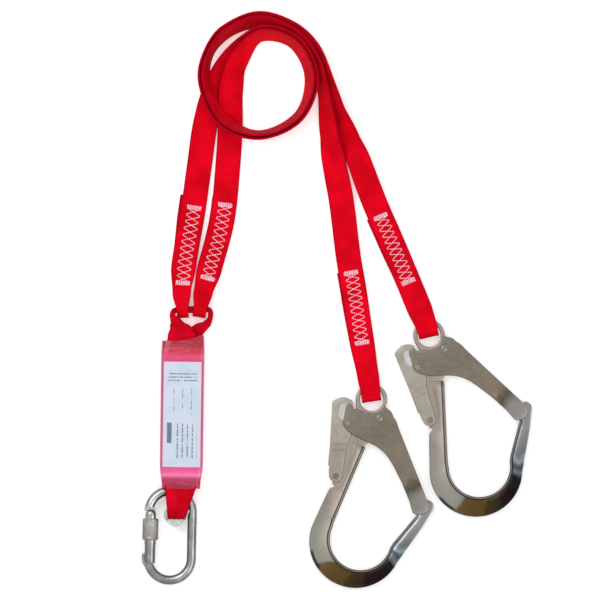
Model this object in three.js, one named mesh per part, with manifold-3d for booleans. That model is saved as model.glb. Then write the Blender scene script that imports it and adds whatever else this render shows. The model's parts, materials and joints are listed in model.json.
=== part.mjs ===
// Twin-leg shock absorbing lanyard: millimetres, +Z up, lying flat on the plane z = 0.
// +X is to the right and +Y is towards the coil, seen from above.
import * as THREE from "three";
import { mergeVertices } from "three/addons/utils/BufferGeometryUtils.js";
import Module from "manifold-3d";

const wasm = await Module();
wasm.setup();

// ---------------------------------------------------------------- driving dimensions
const WEB = { width: 27, thickness: 2.2, layerGap: 0.3 };
const LAYER_OFFSET = (WEB.thickness + WEB.layerGap) / 2;
const RUNNING_GAP = 0.25; // radial gap of a pin in its hole
const SLOT_GAP = 0.5; // radial gap of the lock pin in the lever's slot
const REST_GAP = 0.3; // gap between a piece and the one that it rests on

const HOOK = {
  planeZ: 7.2, // height of the hook's mid-plane
  eyeHoleRadius: 12.6,
  eyeOuterRadius: 17.2,
  headHalf: 2.6, // half thickness of the head, which sits inside the lever
  bodyHalf: 4.25, // half thickness of the J
  leverInner: 2.9,
  leverOuter: 4.3,
  gateInner: 4.7,
  gateOuter: 6.2,
  gatePivot: new THREE.Vector2(15.7, -14.8),
  leverPivot: new THREE.Vector2(-3.2, -91.4),
  lockPin: new THREE.Vector2(-13.8, -33.7),
  mouthCentre: new THREE.Vector2(48, -144),
  mouthRadius: 33,
  seatWidth: 14,
  seatDepth: 0.2,
  bowlCentre: new THREE.Vector2(44, -148),
  bowlRadius: 50.3,
  gateTravel: 25, // degrees
  leverPerGate: 0.18, // lever turn for one degree of gate turn
};
const GATE_PIVOT_RADIUS = 3.2;
const LEVER_PIVOT_RADIUS = 2.4;
const LOCK_PIN_RADIUS = 2.2;
const HOOKS = [
  { name: "hook_1", eye: new THREE.Vector2(77.2, -107.4), turn: -22.9 },
  { name: "hook_2", eye: new THREE.Vector2(139.3, -38.1), turn: 2.6 },
];

const KARABINER = {
  centre: new THREE.Vector3(-140.3, -254.2, 11.7),
  turn: -1.2, // degrees about Z
  halfSpan: 23.4, // centre line, across
  halfLength: 48.3, // centre line, along
  barRadius: 5,
  gateRadius: 6.2,
  hingeY: 21.3,
  latchY: -24.7,
  sleeveRadius: 8.75,
  sleeveLength: 23,
  sleeveTop: 17.7,
};

const HINGE_PIN_RADIUS = 1.7;
const LATCH_PIN_RADIUS = 1.4;

const ABSORBER = {
  centre: new THREE.Vector3(-127.4, -121.2, 11.7),
  turn: -0.8,
  width: 47,
  length: 154,
  thickness: 23,
  coverWall: 0.8,
  layers: 5, // of folded tear webbing
  layerPitch: 2.8,
};
// The loops' layers lie this far above and below the middle of the pack.
const PACK_LAYER_HEIGHT = 8.4;
// The legs' lower eyes hang on the absorber's upper loop along this line.
const YOKE = {
  centre: new THREE.Vector3(-117.2, -10.4, 9.2),
  turn: 2, // degrees about Z
  halfWidth: 3.8,
  halfHeight: 4,
};

const COIL = new THREE.Vector2(-44.3, 241.9);

const colour = (hex, roughness, metalness) =>
  new THREE.MeshStandardMaterial({ color: hex, roughness, metalness });
const RED_WEBBING = colour(0xd8001e, 0.85, 0);
const THREAD = colour(0xf4dfe4, 0.8, 0);
const PLATED_STEEL = colour(0xa7a297, 0.4, 0.9);
const ZINC_STEEL = colour(0x9aa09f, 0.3, 0.95);
const SPRING_STEEL = colour(0x8b8f92, 0.35, 0.95);
const CLEAR_PLASTIC = colour(0xe06a88, 0.25, 0);
const WHITE_PLASTIC = colour(0xe6efec, 0.4, 0);
const LABEL = colour(0xdbe6f4, 0.5, 0);

const radians = THREE.MathUtils.degToRad;
const smooth = (t) => {
  const c = Math.min(1, Math.max(0, t));
  return c * c * (3 - 2 * c);
};
const mix = (a, b, t) => a + (b - a) * t;

// ---------------------------------------------------------------- solids
function toSolid(geometry) {
  const bare = geometry.index ? geometry.toNonIndexed() : geometry.clone();
  bare.deleteAttribute("normal");
  bare.deleteAttribute("uv");
  const merged = mergeVertices(bare, 1e-3);
  const mesh = new wasm.Mesh({
    numProp: 3,
    vertProperties: merged.attributes.position.array,
    triVerts: new Uint32Array(merged.index.array),
  });
  return new wasm.Manifold(mesh);
}

function toGeometry(solid) {
  const mesh = solid.getMesh();
  const points = new Float32Array(mesh.numVert * 3);
  for (let i = 0; i < mesh.numVert; i++) {
    points.set(mesh.vertProperties.subarray(i * mesh.numProp, i * mesh.numProp + 3), i * 3);
  }
  const geometry = new THREE.BufferGeometry();
  geometry.setAttribute("position", new THREE.BufferAttribute(points, 3));
  geometry.setIndex(new THREE.BufferAttribute(mesh.triVerts, 1));
  geometry.computeVertexNormals();
  return geometry;
}

const join = (...solids) => wasm.Manifold.union(solids);

// A flat plate with the outline of a shape, from one height to another.
function plate(shape, bottom, top, bevel = 0, curveSegments = 12) {
  const geometry = new THREE.ExtrudeGeometry(shape, {
    depth: top - bottom - 2 * bevel,
    bevelEnabled: bevel > 0,
    bevelThickness: bevel,
    bevelSize: bevel,
    bevelOffset: -bevel,
    bevelSegments: 1,
    curveSegments,
  });
  geometry.translate(0, 0, bottom + bevel);
  return toSolid(geometry);
}

function shapeOf(points) {
  return new THREE.Shape(points.map(([x, y]) => new THREE.Vector2(x, y)));
}

function discShape(centre, radius) {
  const shape = new THREE.Shape();
  shape.absarc(centre.x, centre.y, radius, 0, 2 * Math.PI);
  return shape;
}

// A cylinder that stands along Z over a point.
function post(centre, radius, bottom, top, sides = 14) {
  const geometry = new THREE.CylinderGeometry(radius, radius, top - bottom, sides);
  geometry.rotateX(Math.PI / 2);
  geometry.translate(centre.x, centre.y, (bottom + top) / 2);
  return toSolid(geometry);
}

function block(size, centre, turn = 0) {
  const geometry = new THREE.BoxGeometry(...size);
  geometry.rotateZ(turn);
  geometry.translate(...centre);
  return toSolid(geometry);
}

// A bar along a wall line, as thick as asked, between two heights.
function wall(points, thickness, bottom, top) {
  const parts = [];
  for (let i = 0; i + 1 < points.length; i++) {
    const [ax, ay] = points[i];
    const [bx, by] = points[i + 1];
    const length = Math.hypot(bx - ax, by - ay);
    const size = [length + thickness * 0.6, thickness, top - bottom];
    const middle = [(ax + bx) / 2, (ay + by) / 2, (bottom + top) / 2];
    parts.push(block(size, middle, Math.atan2(by - ay, bx - ax)));
  }
  return join(...parts);
}

// The triangles that close a convex section of a number of points, as a fan.
function fan(sides) {
  return Array.from({ length: sides - 2 }, (_, k) => [0, k + 1, k + 2]);
}

// A closed skin through rings of points, each ring with the same number of points.
function loft(rings, capTriangles = fan(rings[0].length)) {
  const sides = rings[0].length;
  const points = rings.flat().flatMap((p) => [p.x, p.y, p.z]);
  const index = [];
  for (let i = 0; i + 1 < rings.length; i++) {
    for (let k = 0; k < sides; k++) {
      const a = i * sides + k;
      const b = i * sides + ((k + 1) % sides);
      index.push(a, b, b + sides, a, b + sides, a + sides);
    }
  }
  const last = (rings.length - 1) * sides;
  for (const [a, b, c] of capTriangles) {
    index.push(a, c, b, last + a, last + b, last + c);
  }
  const geometry = new THREE.BufferGeometry();
  geometry.setAttribute("position", new THREE.Float32BufferAttribute(points, 3));
  geometry.setIndex(index);
  if (signedVolume(geometry) < 0) {
    for (let i = 0; i < index.length; i += 3) [index[i], index[i + 1]] = [index[i + 1], index[i]];
    geometry.setIndex(index);
  }
  geometry.computeVertexNormals();
  return geometry;
}

function signedVolume(geometry) {
  const position = geometry.attributes.position;
  const [a, b, c] = [new THREE.Vector3(), new THREE.Vector3(), new THREE.Vector3()];
  let volume = 0;
  for (let i = 0; i < geometry.index.count; i += 3) {
    a.fromBufferAttribute(position, geometry.index.getX(i));
    b.fromBufferAttribute(position, geometry.index.getX(i + 1));
    c.fromBufferAttribute(position, geometry.index.getX(i + 2));
    volume += a.dot(b.cross(c)) / 6;
  }
  return volume;
}

// A section of flat webbing: four corners round a centre.
function bandRing({ centre, across, normal, width, thickness }) {
  const corner = (w, t) =>
    centre.clone().addScaledVector(across, (w * width) / 2).addScaledVector(normal, (t * thickness) / 2);
  return [corner(1, 1), corner(-1, 1), corner(-1, -1), corner(1, -1)];
}

// A section that goes from flat webbing to a gathered, nearly round rope.
function gatheredRing({ centre, across, normal, width, thickness }, sides = 8, boxiness = 0.55) {
  const ring = [];
  for (let k = 0; k < sides; k++) {
    const angle = (2 * Math.PI * (k + 0.5)) / sides;
    const c = Math.sign(Math.cos(angle)) * Math.abs(Math.cos(angle)) ** boxiness;
    const s = Math.sign(Math.sin(angle)) * Math.abs(Math.sin(angle)) ** boxiness;
    ring.push(
      centre.clone().addScaledVector(across, (c * width) / 2).addScaledVector(normal, (s * thickness) / 2),
    );
  }
  return ring;
}

// A round wire or bar along a list of points.
function wire(points, radius, sides) {
  const up = new THREE.Vector3();
  const rings = points.map((point, i) => {
    const before = points[Math.max(0, i - 1)];
    const after = points[Math.min(points.length - 1, i + 1)];
    const along = after.clone().sub(before).normalize();
    if (i === 0) up.set(0, 0, 1).addScaledVector(along, -along.z);
    if (up.lengthSq() < 1e-3) up.set(1, 0, 0).addScaledVector(along, -along.x);
    up.addScaledVector(along, -up.dot(along)).normalize();
    const side = up.clone().cross(along);
    const ring = [];
    for (let k = 0; k < sides; k++) {
      const angle = (2 * Math.PI * k) / sides;
      const sideways = radius * Math.cos(angle);
      const upwards = radius * Math.sin(angle);
      ring.push(point.clone().addScaledVector(side, sideways).addScaledVector(up, upwards));
    }
    return ring;
  });
  return loft(rings);
}

function addMesh(group, name, geometryOrSolid, material) {
  const geometry = geometryOrSolid.isBufferGeometry ? geometryOrSolid : toGeometry(geometryOrSolid);
  const mesh = new THREE.Mesh(geometry, material);
  mesh.name = name;
  group.add(mesh);
  return mesh;
}

// ---------------------------------------------------------------- scaffold hook
// The hook's own frame has its origin at the centre of the eye, with the J below it.
function hookBodySolid() {
  const { mouthCentre: mouth, mouthRadius, bowlCentre: bowl, bowlRadius } = HOOK;
  const noseCentre = new THREE.Vector2(100, -84);
  const j = new THREE.Shape();
  j.moveTo(14, -48);
  j.lineTo(mouth.x - mouthRadius, mouth.y + 4);
  j.absarc(mouth.x, mouth.y, mouthRadius, Math.PI, radians(368), false);
  j.lineTo(93.5, -97);
  j.absarc(noseCentre.x, noseCentre.y, 8, radians(185), radians(-20), true);
  j.lineTo(104.5, -106);
  j.absarc(bowl.x, bowl.y, bowlRadius, radians(-6), radians(-176), true);
  j.lineTo(-5.2, -104);
  j.lineTo(4.6, -96.5);
  j.lineTo(6.4, -84);
  j.lineTo(-0.2, -48);
  const thick = plate(j, -HOOK.bodyHalf, HOOK.bodyHalf, 1.4, 11);

  const head = shapeOf([
    [-14, -8], [-9, -20], [-8.5, -45], [-5.2, -62], [-5.2, -86], [-5.2, -104], [4.6, -108], [14, -100],
    [14, -50], [24, -27], [25.2, -16], [22, -8.5], [15.5, -4],
  ]);
  const lug = post(HOOK.leverPivot, 5, -HOOK.headHalf, HOOK.headHalf);
  const disc = discShape(new THREE.Vector2(0, 0), HOOK.eyeOuterRadius);
  const ring = plate(disc, -HOOK.headHalf, HOOK.headHalf, 1.1, 14);
  const thin = join(plate(head, -HOOK.headHalf, HOOK.headHalf), ring, lug);
  const far = HOOK.gateOuter + 2;
  const eyeHole = post({ x: 0, y: 0 }, HOOK.eyeHoleRadius, -far, far, 28);
  const pinHole = (centre, radius) => post(centre, radius + RUNNING_GAP, -far, far);
  // The planar seat at the bottom of the mouth, where the hook bears on a scaffold tube.
  const seat = block([HOOK.seatWidth, 2, 2 * far], [mouth.x, mouth.y - mouthRadius - HOOK.seatDepth + 1, 0]);
  const gateHole = pinHole(HOOK.gatePivot, GATE_PIVOT_RADIUS);
  const leverHole = pinHole(HOOK.leverPivot, LEVER_PIVOT_RADIUS);
  return join(thick, thin).subtract(join(eyeHole, gateHole, leverHole, seat));
}

function gateOutline() {
  return shapeOf([
    [-22.8, -15.2], [-18.5, -13], [-13, -17], [-8, -15.5], [0, -15.6], [8, -13], [13.4, -7], [14.5, 0.3],
    [19, -2.5], [25, -3.5], [29, -8], [34, -11], [38.5, -16.5], [95.5, -74.5], [102.5, -82],
    [103, -88], [98.5, -94.5], [89, -96.5], [81, -86], [66, -71], [50, -57.5],
    [42, -51.5], [34, -47.3], [25, -44.9], [14, -44.2], [-3.5, -43.4], [-12, -41],
    [-18.6, -36.5], [-19.6, -30], [-22, -21],
  ]);
}

function gateSolid() {
  const outline = gateOutline();
  const front = plate(outline, HOOK.gateInner, HOOK.gateOuter, 0.5);
  const back = plate(outline, -HOOK.gateOuter, -HOOK.gateInner, 0.5);
  const webLine = [[18.5, -4.6], [24.2, -5.3], [28, -9.6], [33.2, -12.6], [37.6, -17.9], [91, -72.6]];
  const web = wall(webLine, 1.8, -HOOK.gateInner - 0.3, HOOK.gateInner + 0.3);
  const stop = wall([[83.5, -87], [88.5, -94]], 2.2, -HOOK.gateInner - 0.3, HOOK.gateInner + 0.3);
  const far = HOOK.gateOuter + 2;
  const holes = join(
    post(HOOK.gatePivot, GATE_PIVOT_RADIUS + RUNNING_GAP, -far, far),
    post(HOOK.lockPin, LOCK_PIN_RADIUS + RUNNING_GAP, -far, far),
  );
  return join(front, back, web, stop).subtract(holes);
}

// Where the gate's lock pin is in the lever's own frame when the gate has turned by an angle.
function lockPinInLever(gateDegrees) {
  const origin = new THREE.Vector2();
  const inBody = HOOK.lockPin.clone().sub(HOOK.gatePivot).rotateAround(origin, radians(-gateDegrees));
  inBody.add(HOOK.gatePivot).sub(HOOK.leverPivot);
  return inBody.rotateAround(origin, radians(gateDegrees * HOOK.leverPerGate)).add(HOOK.leverPivot);
}

function leverSolid() {
  const outline = shapeOf([
    [-38.5, -17.5], [-30.5, -9.7], [-24, -8.4], [-17.5, -9.5], [-9, -30], [-5, -45], [-5.2, -55],
    [-2, -69], [3.4, -89], [2.6, -94.6], [-2.4, -98.2], [-8, -97], [-10.6, -93.5], [-24, -58], [-36.6, -23],
  ]);
  const front = plate(outline, HOOK.leverInner, HOOK.leverOuter, 0.4);
  const back = plate(outline, -HOOK.leverOuter, -HOOK.leverInner, 0.4);
  const webLine = [[-15, -83.5], [-22.6, -59.5], [-35.6, -23.4], [-37, -18.2], [-30, -11], [-23.5, -9.4]];
  const web = wall(webLine, 1.3, -HOOK.leverInner - 0.4, HOOK.leverInner + 0.4);
  const far = HOOK.gateOuter + 2;
  const steps = 6;
  const cuts = [post(HOOK.leverPivot, LEVER_PIVOT_RADIUS + RUNNING_GAP, -far, far)];
  let previous = null;
  for (let i = 0; i <= steps; i++) {
    const at = lockPinInLever(mix(-1.5, HOOK.gateTravel + 1.5, i / steps));
    const here = post(at, LOCK_PIN_RADIUS + SLOT_GAP, -far, far, 16);
    if (previous) cuts.push(wasm.Manifold.hull([previous, here]));
    previous = here;
  }
  // The see-through crescent beside the tail of the gate.
  const crescent = shapeOf([
    [-28.3, -19.5], [-26, -15.2], [-21, -14.6], [-16.5, -20], [-15, -34], [-20.5, -37.5], [-26.2, -31],
  ]);
  cuts.push(plate(crescent, -far, far));
  return join(front, back, web).subtract(join(...cuts));
}

function rivetSolid(centre, radius, headRadius, half) {
  const shank = post(centre, radius, -half - 0.3, half + 0.3);
  const head = (z) => post(centre, headRadius, z - 0.3, z + 0.3);
  return join(shank, head(half + 0.6), head(-half - 0.6));
}

// A flat spiral of wire round a pivot.
function spiralSpring(centre, height, startRadius, endRadius, turns, wireRadius) {
  const points = [];
  const steps = Math.round(turns * 12);
  for (let i = 0; i <= steps; i++) {
    const angle = (2 * Math.PI * turns * i) / steps;
    const radius = mix(startRadius, endRadius, i / steps);
    const x = centre.x + radius * Math.cos(angle);
    const y = centre.y + radius * Math.sin(angle);
    points.push(new THREE.Vector3(x, y, height));
  }
  return wire(points, wireRadius, 4);
}

// A coil spring along an axis from one point to another.
function coilSpring(start, end, coilRadius, turns, wireRadius, stepsPerTurn = 8) {
  const axis = end.clone().sub(start);
  const along = axis.clone().normalize();
  const side = Math.abs(along.z) < 0.9 ? new THREE.Vector3(0, 0, 1) : new THREE.Vector3(1, 0, 0);
  side.addScaledVector(along, -side.dot(along)).normalize();
  const third = along.clone().cross(side);
  const points = [];
  const steps = Math.round(turns * stepsPerTurn);
  for (let i = 0; i <= steps; i++) {
    const angle = (2 * Math.PI * turns * i) / steps;
    points.push(
      start.clone().addScaledVector(axis, i / steps)
        .addScaledVector(side, coilRadius * Math.cos(angle))
        .addScaledVector(third, coilRadius * Math.sin(angle)),
    );
  }
  return wire(points, wireRadius, 4);
}

function buildHook({ name, eye, turn }) {
  const hook = new THREE.Group();
  hook.position.set(eye.x, eye.y, HOOK.planeZ);
  hook.rotation.z = radians(turn);
  addMesh(hook, name + "_body", hookBodySolid(), PLATED_STEEL);
  addMesh(hook, name + "_gate", gateSolid(), PLATED_STEEL);
  addMesh(hook, name + "_lever", leverSolid(), PLATED_STEEL);
  const gateReach = HOOK.gateOuter - 0.1;
  const gatePivot = rivetSolid(HOOK.gatePivot, GATE_PIVOT_RADIUS, 4.2, gateReach);
  addMesh(hook, name + "_gate_pivot", gatePivot, PLATED_STEEL);
  const leverPivot = rivetSolid(HOOK.leverPivot, LEVER_PIVOT_RADIUS, 3.4, HOOK.leverOuter);
  addMesh(hook, name + "_lever_pivot", leverPivot, PLATED_STEEL);
  addMesh(hook, name + "_lock_pin", rivetSolid(HOOK.lockPin, LOCK_PIN_RADIUS, 3, gateReach), PLATED_STEEL);
  const spiralZ = (HOOK.headHalf + HOOK.gateInner) / 2;
  const gateSpring = spiralSpring(HOOK.gatePivot, spiralZ, 4.4, 7.4, 1.7, 0.55);
  addMesh(hook, name + "_gate_spring", gateSpring, SPRING_STEEL);
  const springStart = new THREE.Vector3(-6.3, -66, 0);
  const springEnd = new THREE.Vector3(-15, -66, 0);
  addMesh(hook, name + "_lever_spring", coilSpring(springStart, springEnd, 1.6, 4, 0.4), SPRING_STEEL);
  return hook;
}

// ---------------------------------------------------------------- karabiner
// Its own frame has its origin at its centre, with the gate on the left.
function karabinerBodySolid() {
  const { halfSpan, halfLength, barRadius, hingeY, latchY } = KARABINER;
  const arcY = halfLength - halfSpan;
  const points = [];
  const arcSteps = 12;
  for (let i = 0; i <= arcSteps; i++) {
    const angle = mix(radians(178), 0, i / arcSteps);
    points.push(new THREE.Vector3(halfSpan * Math.cos(angle), arcY + halfSpan * Math.sin(angle), 0));
  }
  for (let i = 0; i <= arcSteps; i++) {
    const angle = mix(0, radians(-176), i / arcSteps);
    points.push(new THREE.Vector3(halfSpan * Math.cos(angle), -arcY + halfSpan * Math.sin(angle), 0));
  }
  let bar = toSolid(wire(points, barRadius, 12));
  const x = -halfSpan + 2;
  // Hinge end: the bar is flattened to a tongue that the gate straddles.
  const tongueHalf = 2.2;
  const cutHeight = 20;
  const aboveTongue = (side) => block([20, 26, 8], [x, hingeY - 4, side * (tongueHalf + 4)]);
  bar = bar.subtract(join(aboveTongue(1), aboveTongue(-1)));
  bar = bar.subtract(block([20, cutHeight, 20], [x, hingeY - 5.5 - cutHeight / 2 + 3, 0]));
  const tongue = post({ x, y: hingeY }, 4.6, -tongueHalf, tongueHalf);
  const neck = plate(
    shapeOf([[x - 4.6, hingeY], [x + 4.6, hingeY], [x + 5, hingeY + 9], [x - 5, hingeY + 9]]),
    -tongueHalf, tongueHalf,
  );
  // Latch end: a flat claw that stands in the gate's slot and hooks its pin.
  const clawHalf = 2;
  const clawTop = latchY + 11;
  const claw = plate(
    shapeOf([
      [x - 3.4, -31.5], [x + 3.6, -34], [x + 3.6, latchY - 1.9], [x - 1.9, latchY - 1.9],
      [x - 1.9, latchY + 1.9], [x + 1.2, latchY + 1.9], [x + 0.6, clawTop - 1.5], [x - 1, clawTop],
      [x - 4.4, clawTop - 1], [x - 5.2, latchY + 6.5], [x - 8.4, latchY + 5], [x - 9, latchY + 1],
      [x - 8.2, latchY - 6], [x - 5, -35],
    ]),
    -clawHalf, clawHalf,
  );
  const aboveShoulder = block([24, 12, 24], [x - 1, -31.6 + 6, 0]);
  bar = bar.subtract(aboveShoulder);
  const pinHole = post({ x, y: hingeY }, HINGE_PIN_RADIUS + RUNNING_GAP, -20, 20);
  // The planar seat on the inside of the bottom bend.
  const seat = block([14, 4, 12], [0, -halfLength + barRadius + 1.4, 0]);
  return join(bar, tongue, neck, claw).subtract(join(pinHole, seat));
}

function karabinerGateSolid() {
  const { halfSpan, gateRadius, hingeY, latchY } = KARABINER;
  const x = -halfSpan + 2;
  const bottom = -30.6;
  const barrel = new THREE.LatheGeometry(
    [
      new THREE.Vector2(0, bottom), new THREE.Vector2(gateRadius - 1, bottom),
      new THREE.Vector2(gateRadius, bottom + 1), new THREE.Vector2(gateRadius, hingeY),
      new THREE.Vector2(gateRadius * 0.8, hingeY + 4.6),
      new THREE.Vector2(gateRadius * 0.35, hingeY + 6.6), new THREE.Vector2(0, hingeY + 6.8),
    ],
    20,
  );
  barrel.translate(x, 0, 0);
  const tongueSlot = block([20, 20, 2 * 2.5], [x, hingeY - 5.4 + 10, 0]);
  const clawSlot = block([24, 22, 2 * 2.4], [x - 2, bottom - 1 + 11 - 0.2, 0]);
  const springBore = post({ x: 0, y: 0 }, 2.6, -9, 9, 12).rotate([90, 0, 0]).translate([x, hingeY - 13.5, 0]);
  const far = 12;
  const holes = join(
    post({ x, y: hingeY }, HINGE_PIN_RADIUS + RUNNING_GAP, -far, far),
    post({ x, y: latchY }, LATCH_PIN_RADIUS + RUNNING_GAP, -far, far),
  );
  return toSolid(barrel).subtract(join(tongueSlot, clawSlot, springBore, holes));
}

function sleeveSolid() {
  const { sleeveRadius, sleeveLength, sleeveTop, gateRadius, halfSpan } = KARABINER;
  const inner = gateRadius + REST_GAP;
  const bottom = sleeveTop - sleeveLength;
  const profile = [
    [inner, bottom], [sleeveRadius - 0.9, bottom], [sleeveRadius, bottom + 0.9],
    [sleeveRadius, sleeveTop - 0.9], [sleeveRadius - 0.9, sleeveTop], [inner, sleeveTop], [inner, bottom],
  ].map(([r, y]) => new THREE.Vector2(r, y));
  const geometry = new THREE.LatheGeometry(profile, 28);
  geometry.translate(-halfSpan + 2, 0, 0);
  return toSolid(geometry);
}

function buildKarabiner() {
  const { centre, turn, hingeY, latchY, halfSpan, gateRadius } = KARABINER;
  const group = new THREE.Group();
  group.position.copy(centre);
  group.rotation.z = radians(turn);
  const x = -halfSpan + 2;
  addMesh(group, "karabiner_body", karabinerBodySolid(), ZINC_STEEL);
  addMesh(group, "karabiner_gate", karabinerGateSolid(), ZINC_STEEL);
  addMesh(group, "karabiner_sleeve", sleeveSolid(), PLATED_STEEL);
  const pinHalf = gateRadius - 0.3;
  const hingePin = post({ x, y: hingeY }, HINGE_PIN_RADIUS, -pinHalf, pinHalf);
  addMesh(group, "karabiner_hinge_pin", hingePin, ZINC_STEEL);
  const latchPin = post({ x, y: latchY }, LATCH_PIN_RADIUS, -pinHalf, pinHalf);
  addMesh(group, "karabiner_latch_pin", latchPin, ZINC_STEEL);
  const springStart = new THREE.Vector3(x, hingeY - 21.5, 0);
  const springEnd = new THREE.Vector3(x, hingeY - 11.2, 0);
  addMesh(group, "karabiner_gate_spring", coilSpring(springStart, springEnd, 1.6, 5, 0.35), SPRING_STEEL);
  const plungerSize = 2.3; // its radius and half its length
  const plunger = post({ x: 0, y: 0 }, plungerSize, -plungerSize, plungerSize, 12)
    .rotate([90, 0, 0])
    .translate([x, hingeY - 8.3, 0]);
  addMesh(group, "karabiner_plunger", plunger, ZINC_STEEL);
  return group;
}

// ---------------------------------------------------------------- webbing paths
// A strap's centre line: control points with a place, a lean and a width, sampled evenly along its length.
// Lean turns the webbing about its own line: 0 lies flat, 90 stands on edge.
function strapLine(controls, spacing) {
  const knots = controls.map((c) => new THREE.Vector3(...c.at));
  const curve = new THREE.CatmullRomCurve3(knots, false, "centripetal");
  const divisions = 2000;
  curve.arcLengthDivisions = divisions;
  const lengths = curve.getLengths(divisions);
  const total = lengths[lengths.length - 1];
  const marks = controls.map((_, i) => lengths[Math.round((i / (controls.length - 1)) * divisions)]);
  const valueAt = (key, s) => {
    let i = 0;
    while (i + 2 < marks.length && s > marks[i + 1]) i++;
    return mix(controls[i][key], controls[i + 1][key], smooth((s - marks[i]) / (marks[i + 1] - marks[i])));
  };
  const count = Math.round(total / spacing);
  const stations = [];
  for (let i = 0; i <= count; i++) {
    const t = i / count;
    const along = curve.getTangentAt(t);
    const left = new THREE.Vector3(-along.y, along.x, 0).normalize();
    const lean = radians(valueAt("lean", t * total));
    const across = left.multiplyScalar(Math.cos(lean)).add(new THREE.Vector3(0, 0, Math.sin(lean)));
    across.addScaledVector(along, -across.dot(along)).normalize();
    const normal = along.clone().cross(across).normalize();
    stations.push({
      centre: curve.getPointAt(t), along, across, normal, s: t * total, width: valueAt("width", t * total),
    });
  }
  return { stations, total };
}

// Half the distance between the two layers of a sewn eye, at a distance from its turn.
function layerOffset(distance, eye) {
  return mix(eye.radius, LAYER_OFFSET, smooth((distance - eye.straight) / eye.closing));
}

// One strap with a sewn eye at each end, as one closed band from fold end to fold end.
function eyedStrap(line, startEye, endEye) {
  const { stations, total } = line;
  const rings = [];
  const layer = (station, side) => {
    const fromStart = layerOffset(station.s, startEye);
    const fromEnd = layerOffset(total - station.s, endEye);
    const normal = station.normal.clone().multiplyScalar(side);
    const centre = station.centre.clone().addScaledVector(normal, Math.max(fromStart, fromEnd));
    return bandRing({ ...station, centre, normal, thickness: WEB.thickness });
  };
  const turn = (station, eye, outward) => {
    const steps = 6;
    for (let i = 1; i < steps; i++) {
      const angle = (Math.PI * i) / steps;
      const normal = station.normal.clone().multiplyScalar(outward * Math.cos(angle));
      normal.addScaledVector(station.along, outward * Math.sin(angle));
      const centre = station.centre.clone().addScaledVector(normal, eye.radius);
      rings.push(bandRing({ ...station, centre, normal, thickness: WEB.thickness }));
    }
  };
  const foldStart = stations.filter((p) => p.s <= startEye.fold);
  const foldEnd = stations.filter((p) => total - p.s <= endEye.fold);
  foldStart.slice().reverse().forEach((p) => rings.push(layer(p, -1)));
  turn(stations[0], startEye, -1);
  stations.forEach((p) => rings.push(layer(p, 1)));
  turn(stations[stations.length - 1], endEye, 1);
  foldEnd.slice().reverse().forEach((p) => rings.push(layer(p, -1)));
  return loft(rings);
}

// ---------------------------------------------------------------- legs
const YOKE_EYE = { radius: 7.6, straight: 4, closing: 21, fold: 125 };
const HOOK_EYE = { radius: 4.3, straight: 15, closing: 18, fold: 142 };
const EYE_DEPTH = 2.8; // how far the turn's centre is above the centre of the hook's eye

// A control point on the coil, by its bearing and radius.
function onCoil(bearing, radius, z, lean) {
  const angle = radians(bearing);
  const at = [COIL.x + radius * Math.cos(angle), COIL.y + radius * Math.sin(angle), z];
  return { at, lean, width: WEB.width };
}
const flat = (x, y, z, lean = 0, width = WEB.width) => ({ at: [x, y, z], lean, width });

// The turns that both legs share; the outer leg runs outside the inner one.
function coilControls(spread) {
  return [
    onCoil(90, 46.5 + spread, 13.6, 62),
    onCoil(45, 54 + spread, 13.6, 68),
    onCoil(0, 58 + spread, 13.8, 68),
    onCoil(-45, 62.5 + spread, 14, 76),
    onCoil(-90, 65 + spread, 15.4, 80),
    onCoil(-130, 62.5 + spread, 21.5, 68),
    onCoil(-175, 60.5 + spread, 25, 72),
    onCoil(-205, 61 + spread, 21.5, 76),
    onCoil(-232, 61 + spread, 17, 68),
    onCoil(-270, 62 + spread, 15.5, 60),
  ];
}

function legControls() {
  const eyeZ = YOKE.centre.z;
  const hookZ = HOOK.planeZ;
  const end = (hook, dx, dy) => flat(hook.eye.x + dx, hook.eye.y + dy, hookZ, 0, 22);
  const inner = [
    flat(-107.8, -10.2, eyeZ, 0, 14.5), flat(-104.6, 8, eyeZ - 1.5, 0, 21), flat(-98, 33, 5),
    flat(-84.2, 86, 3), flat(-78.3, 140, 1.2), flat(-75.4, 190, 2.4, 4), flat(-75, 226, 5, 12),
    flat(-69.5, 255, 10.5, 36),
    ...coilControls(-2),
    onCoil(50, 60.5, 14.5, 66), onCoil(18, 64, 13.8, 68), flat(25.3, 231, 13.6, 66),
    flat(32.6, 178, 10.5, 44), flat(37, 150, 6.5, 18), flat(44.5, 108, 4, 0), flat(52.5, 45, 3.8),
    flat(58.5, 10, 4), flat(66, -40, 4.6), flat(73.5, -82, hookZ - 0.6, 0, 24),
    end(HOOKS[0], -0.5, EYE_DEPTH),
  ];
  const outer = [
    flat(-126.9, -10.9, eyeZ, 0, 13), flat(-127.8, 8, eyeZ - 1.5, 0, 20), flat(-125.6, 36, 5),
    flat(-115, 100, 3), flat(-108, 150, 1), flat(-103, 186, 1.2, 3), flat(-95, 218, 2.6, 6),
    flat(-83, 247, 6, 20),
    ...coilControls(2),
    onCoil(55, 65, 15, 64), onCoil(28, 68.5, 14, 66), flat(30.5, 240, 13.8, 64), flat(40, 210, 13, 56),
    flat(54, 176, 12, 40), flat(64, 150, 10.5, 16), flat(79.4, 108, 7, 0), flat(98.5, 64, 5.5),
    flat(117, 20, 5.5), flat(128.5, -8, hookZ - 0.8), flat(136.6, -28.4, hookZ, 0, 23.5),
    end(HOOKS[1], -1, EYE_DEPTH),
  ];
  return { inner, outer };
}

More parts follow.
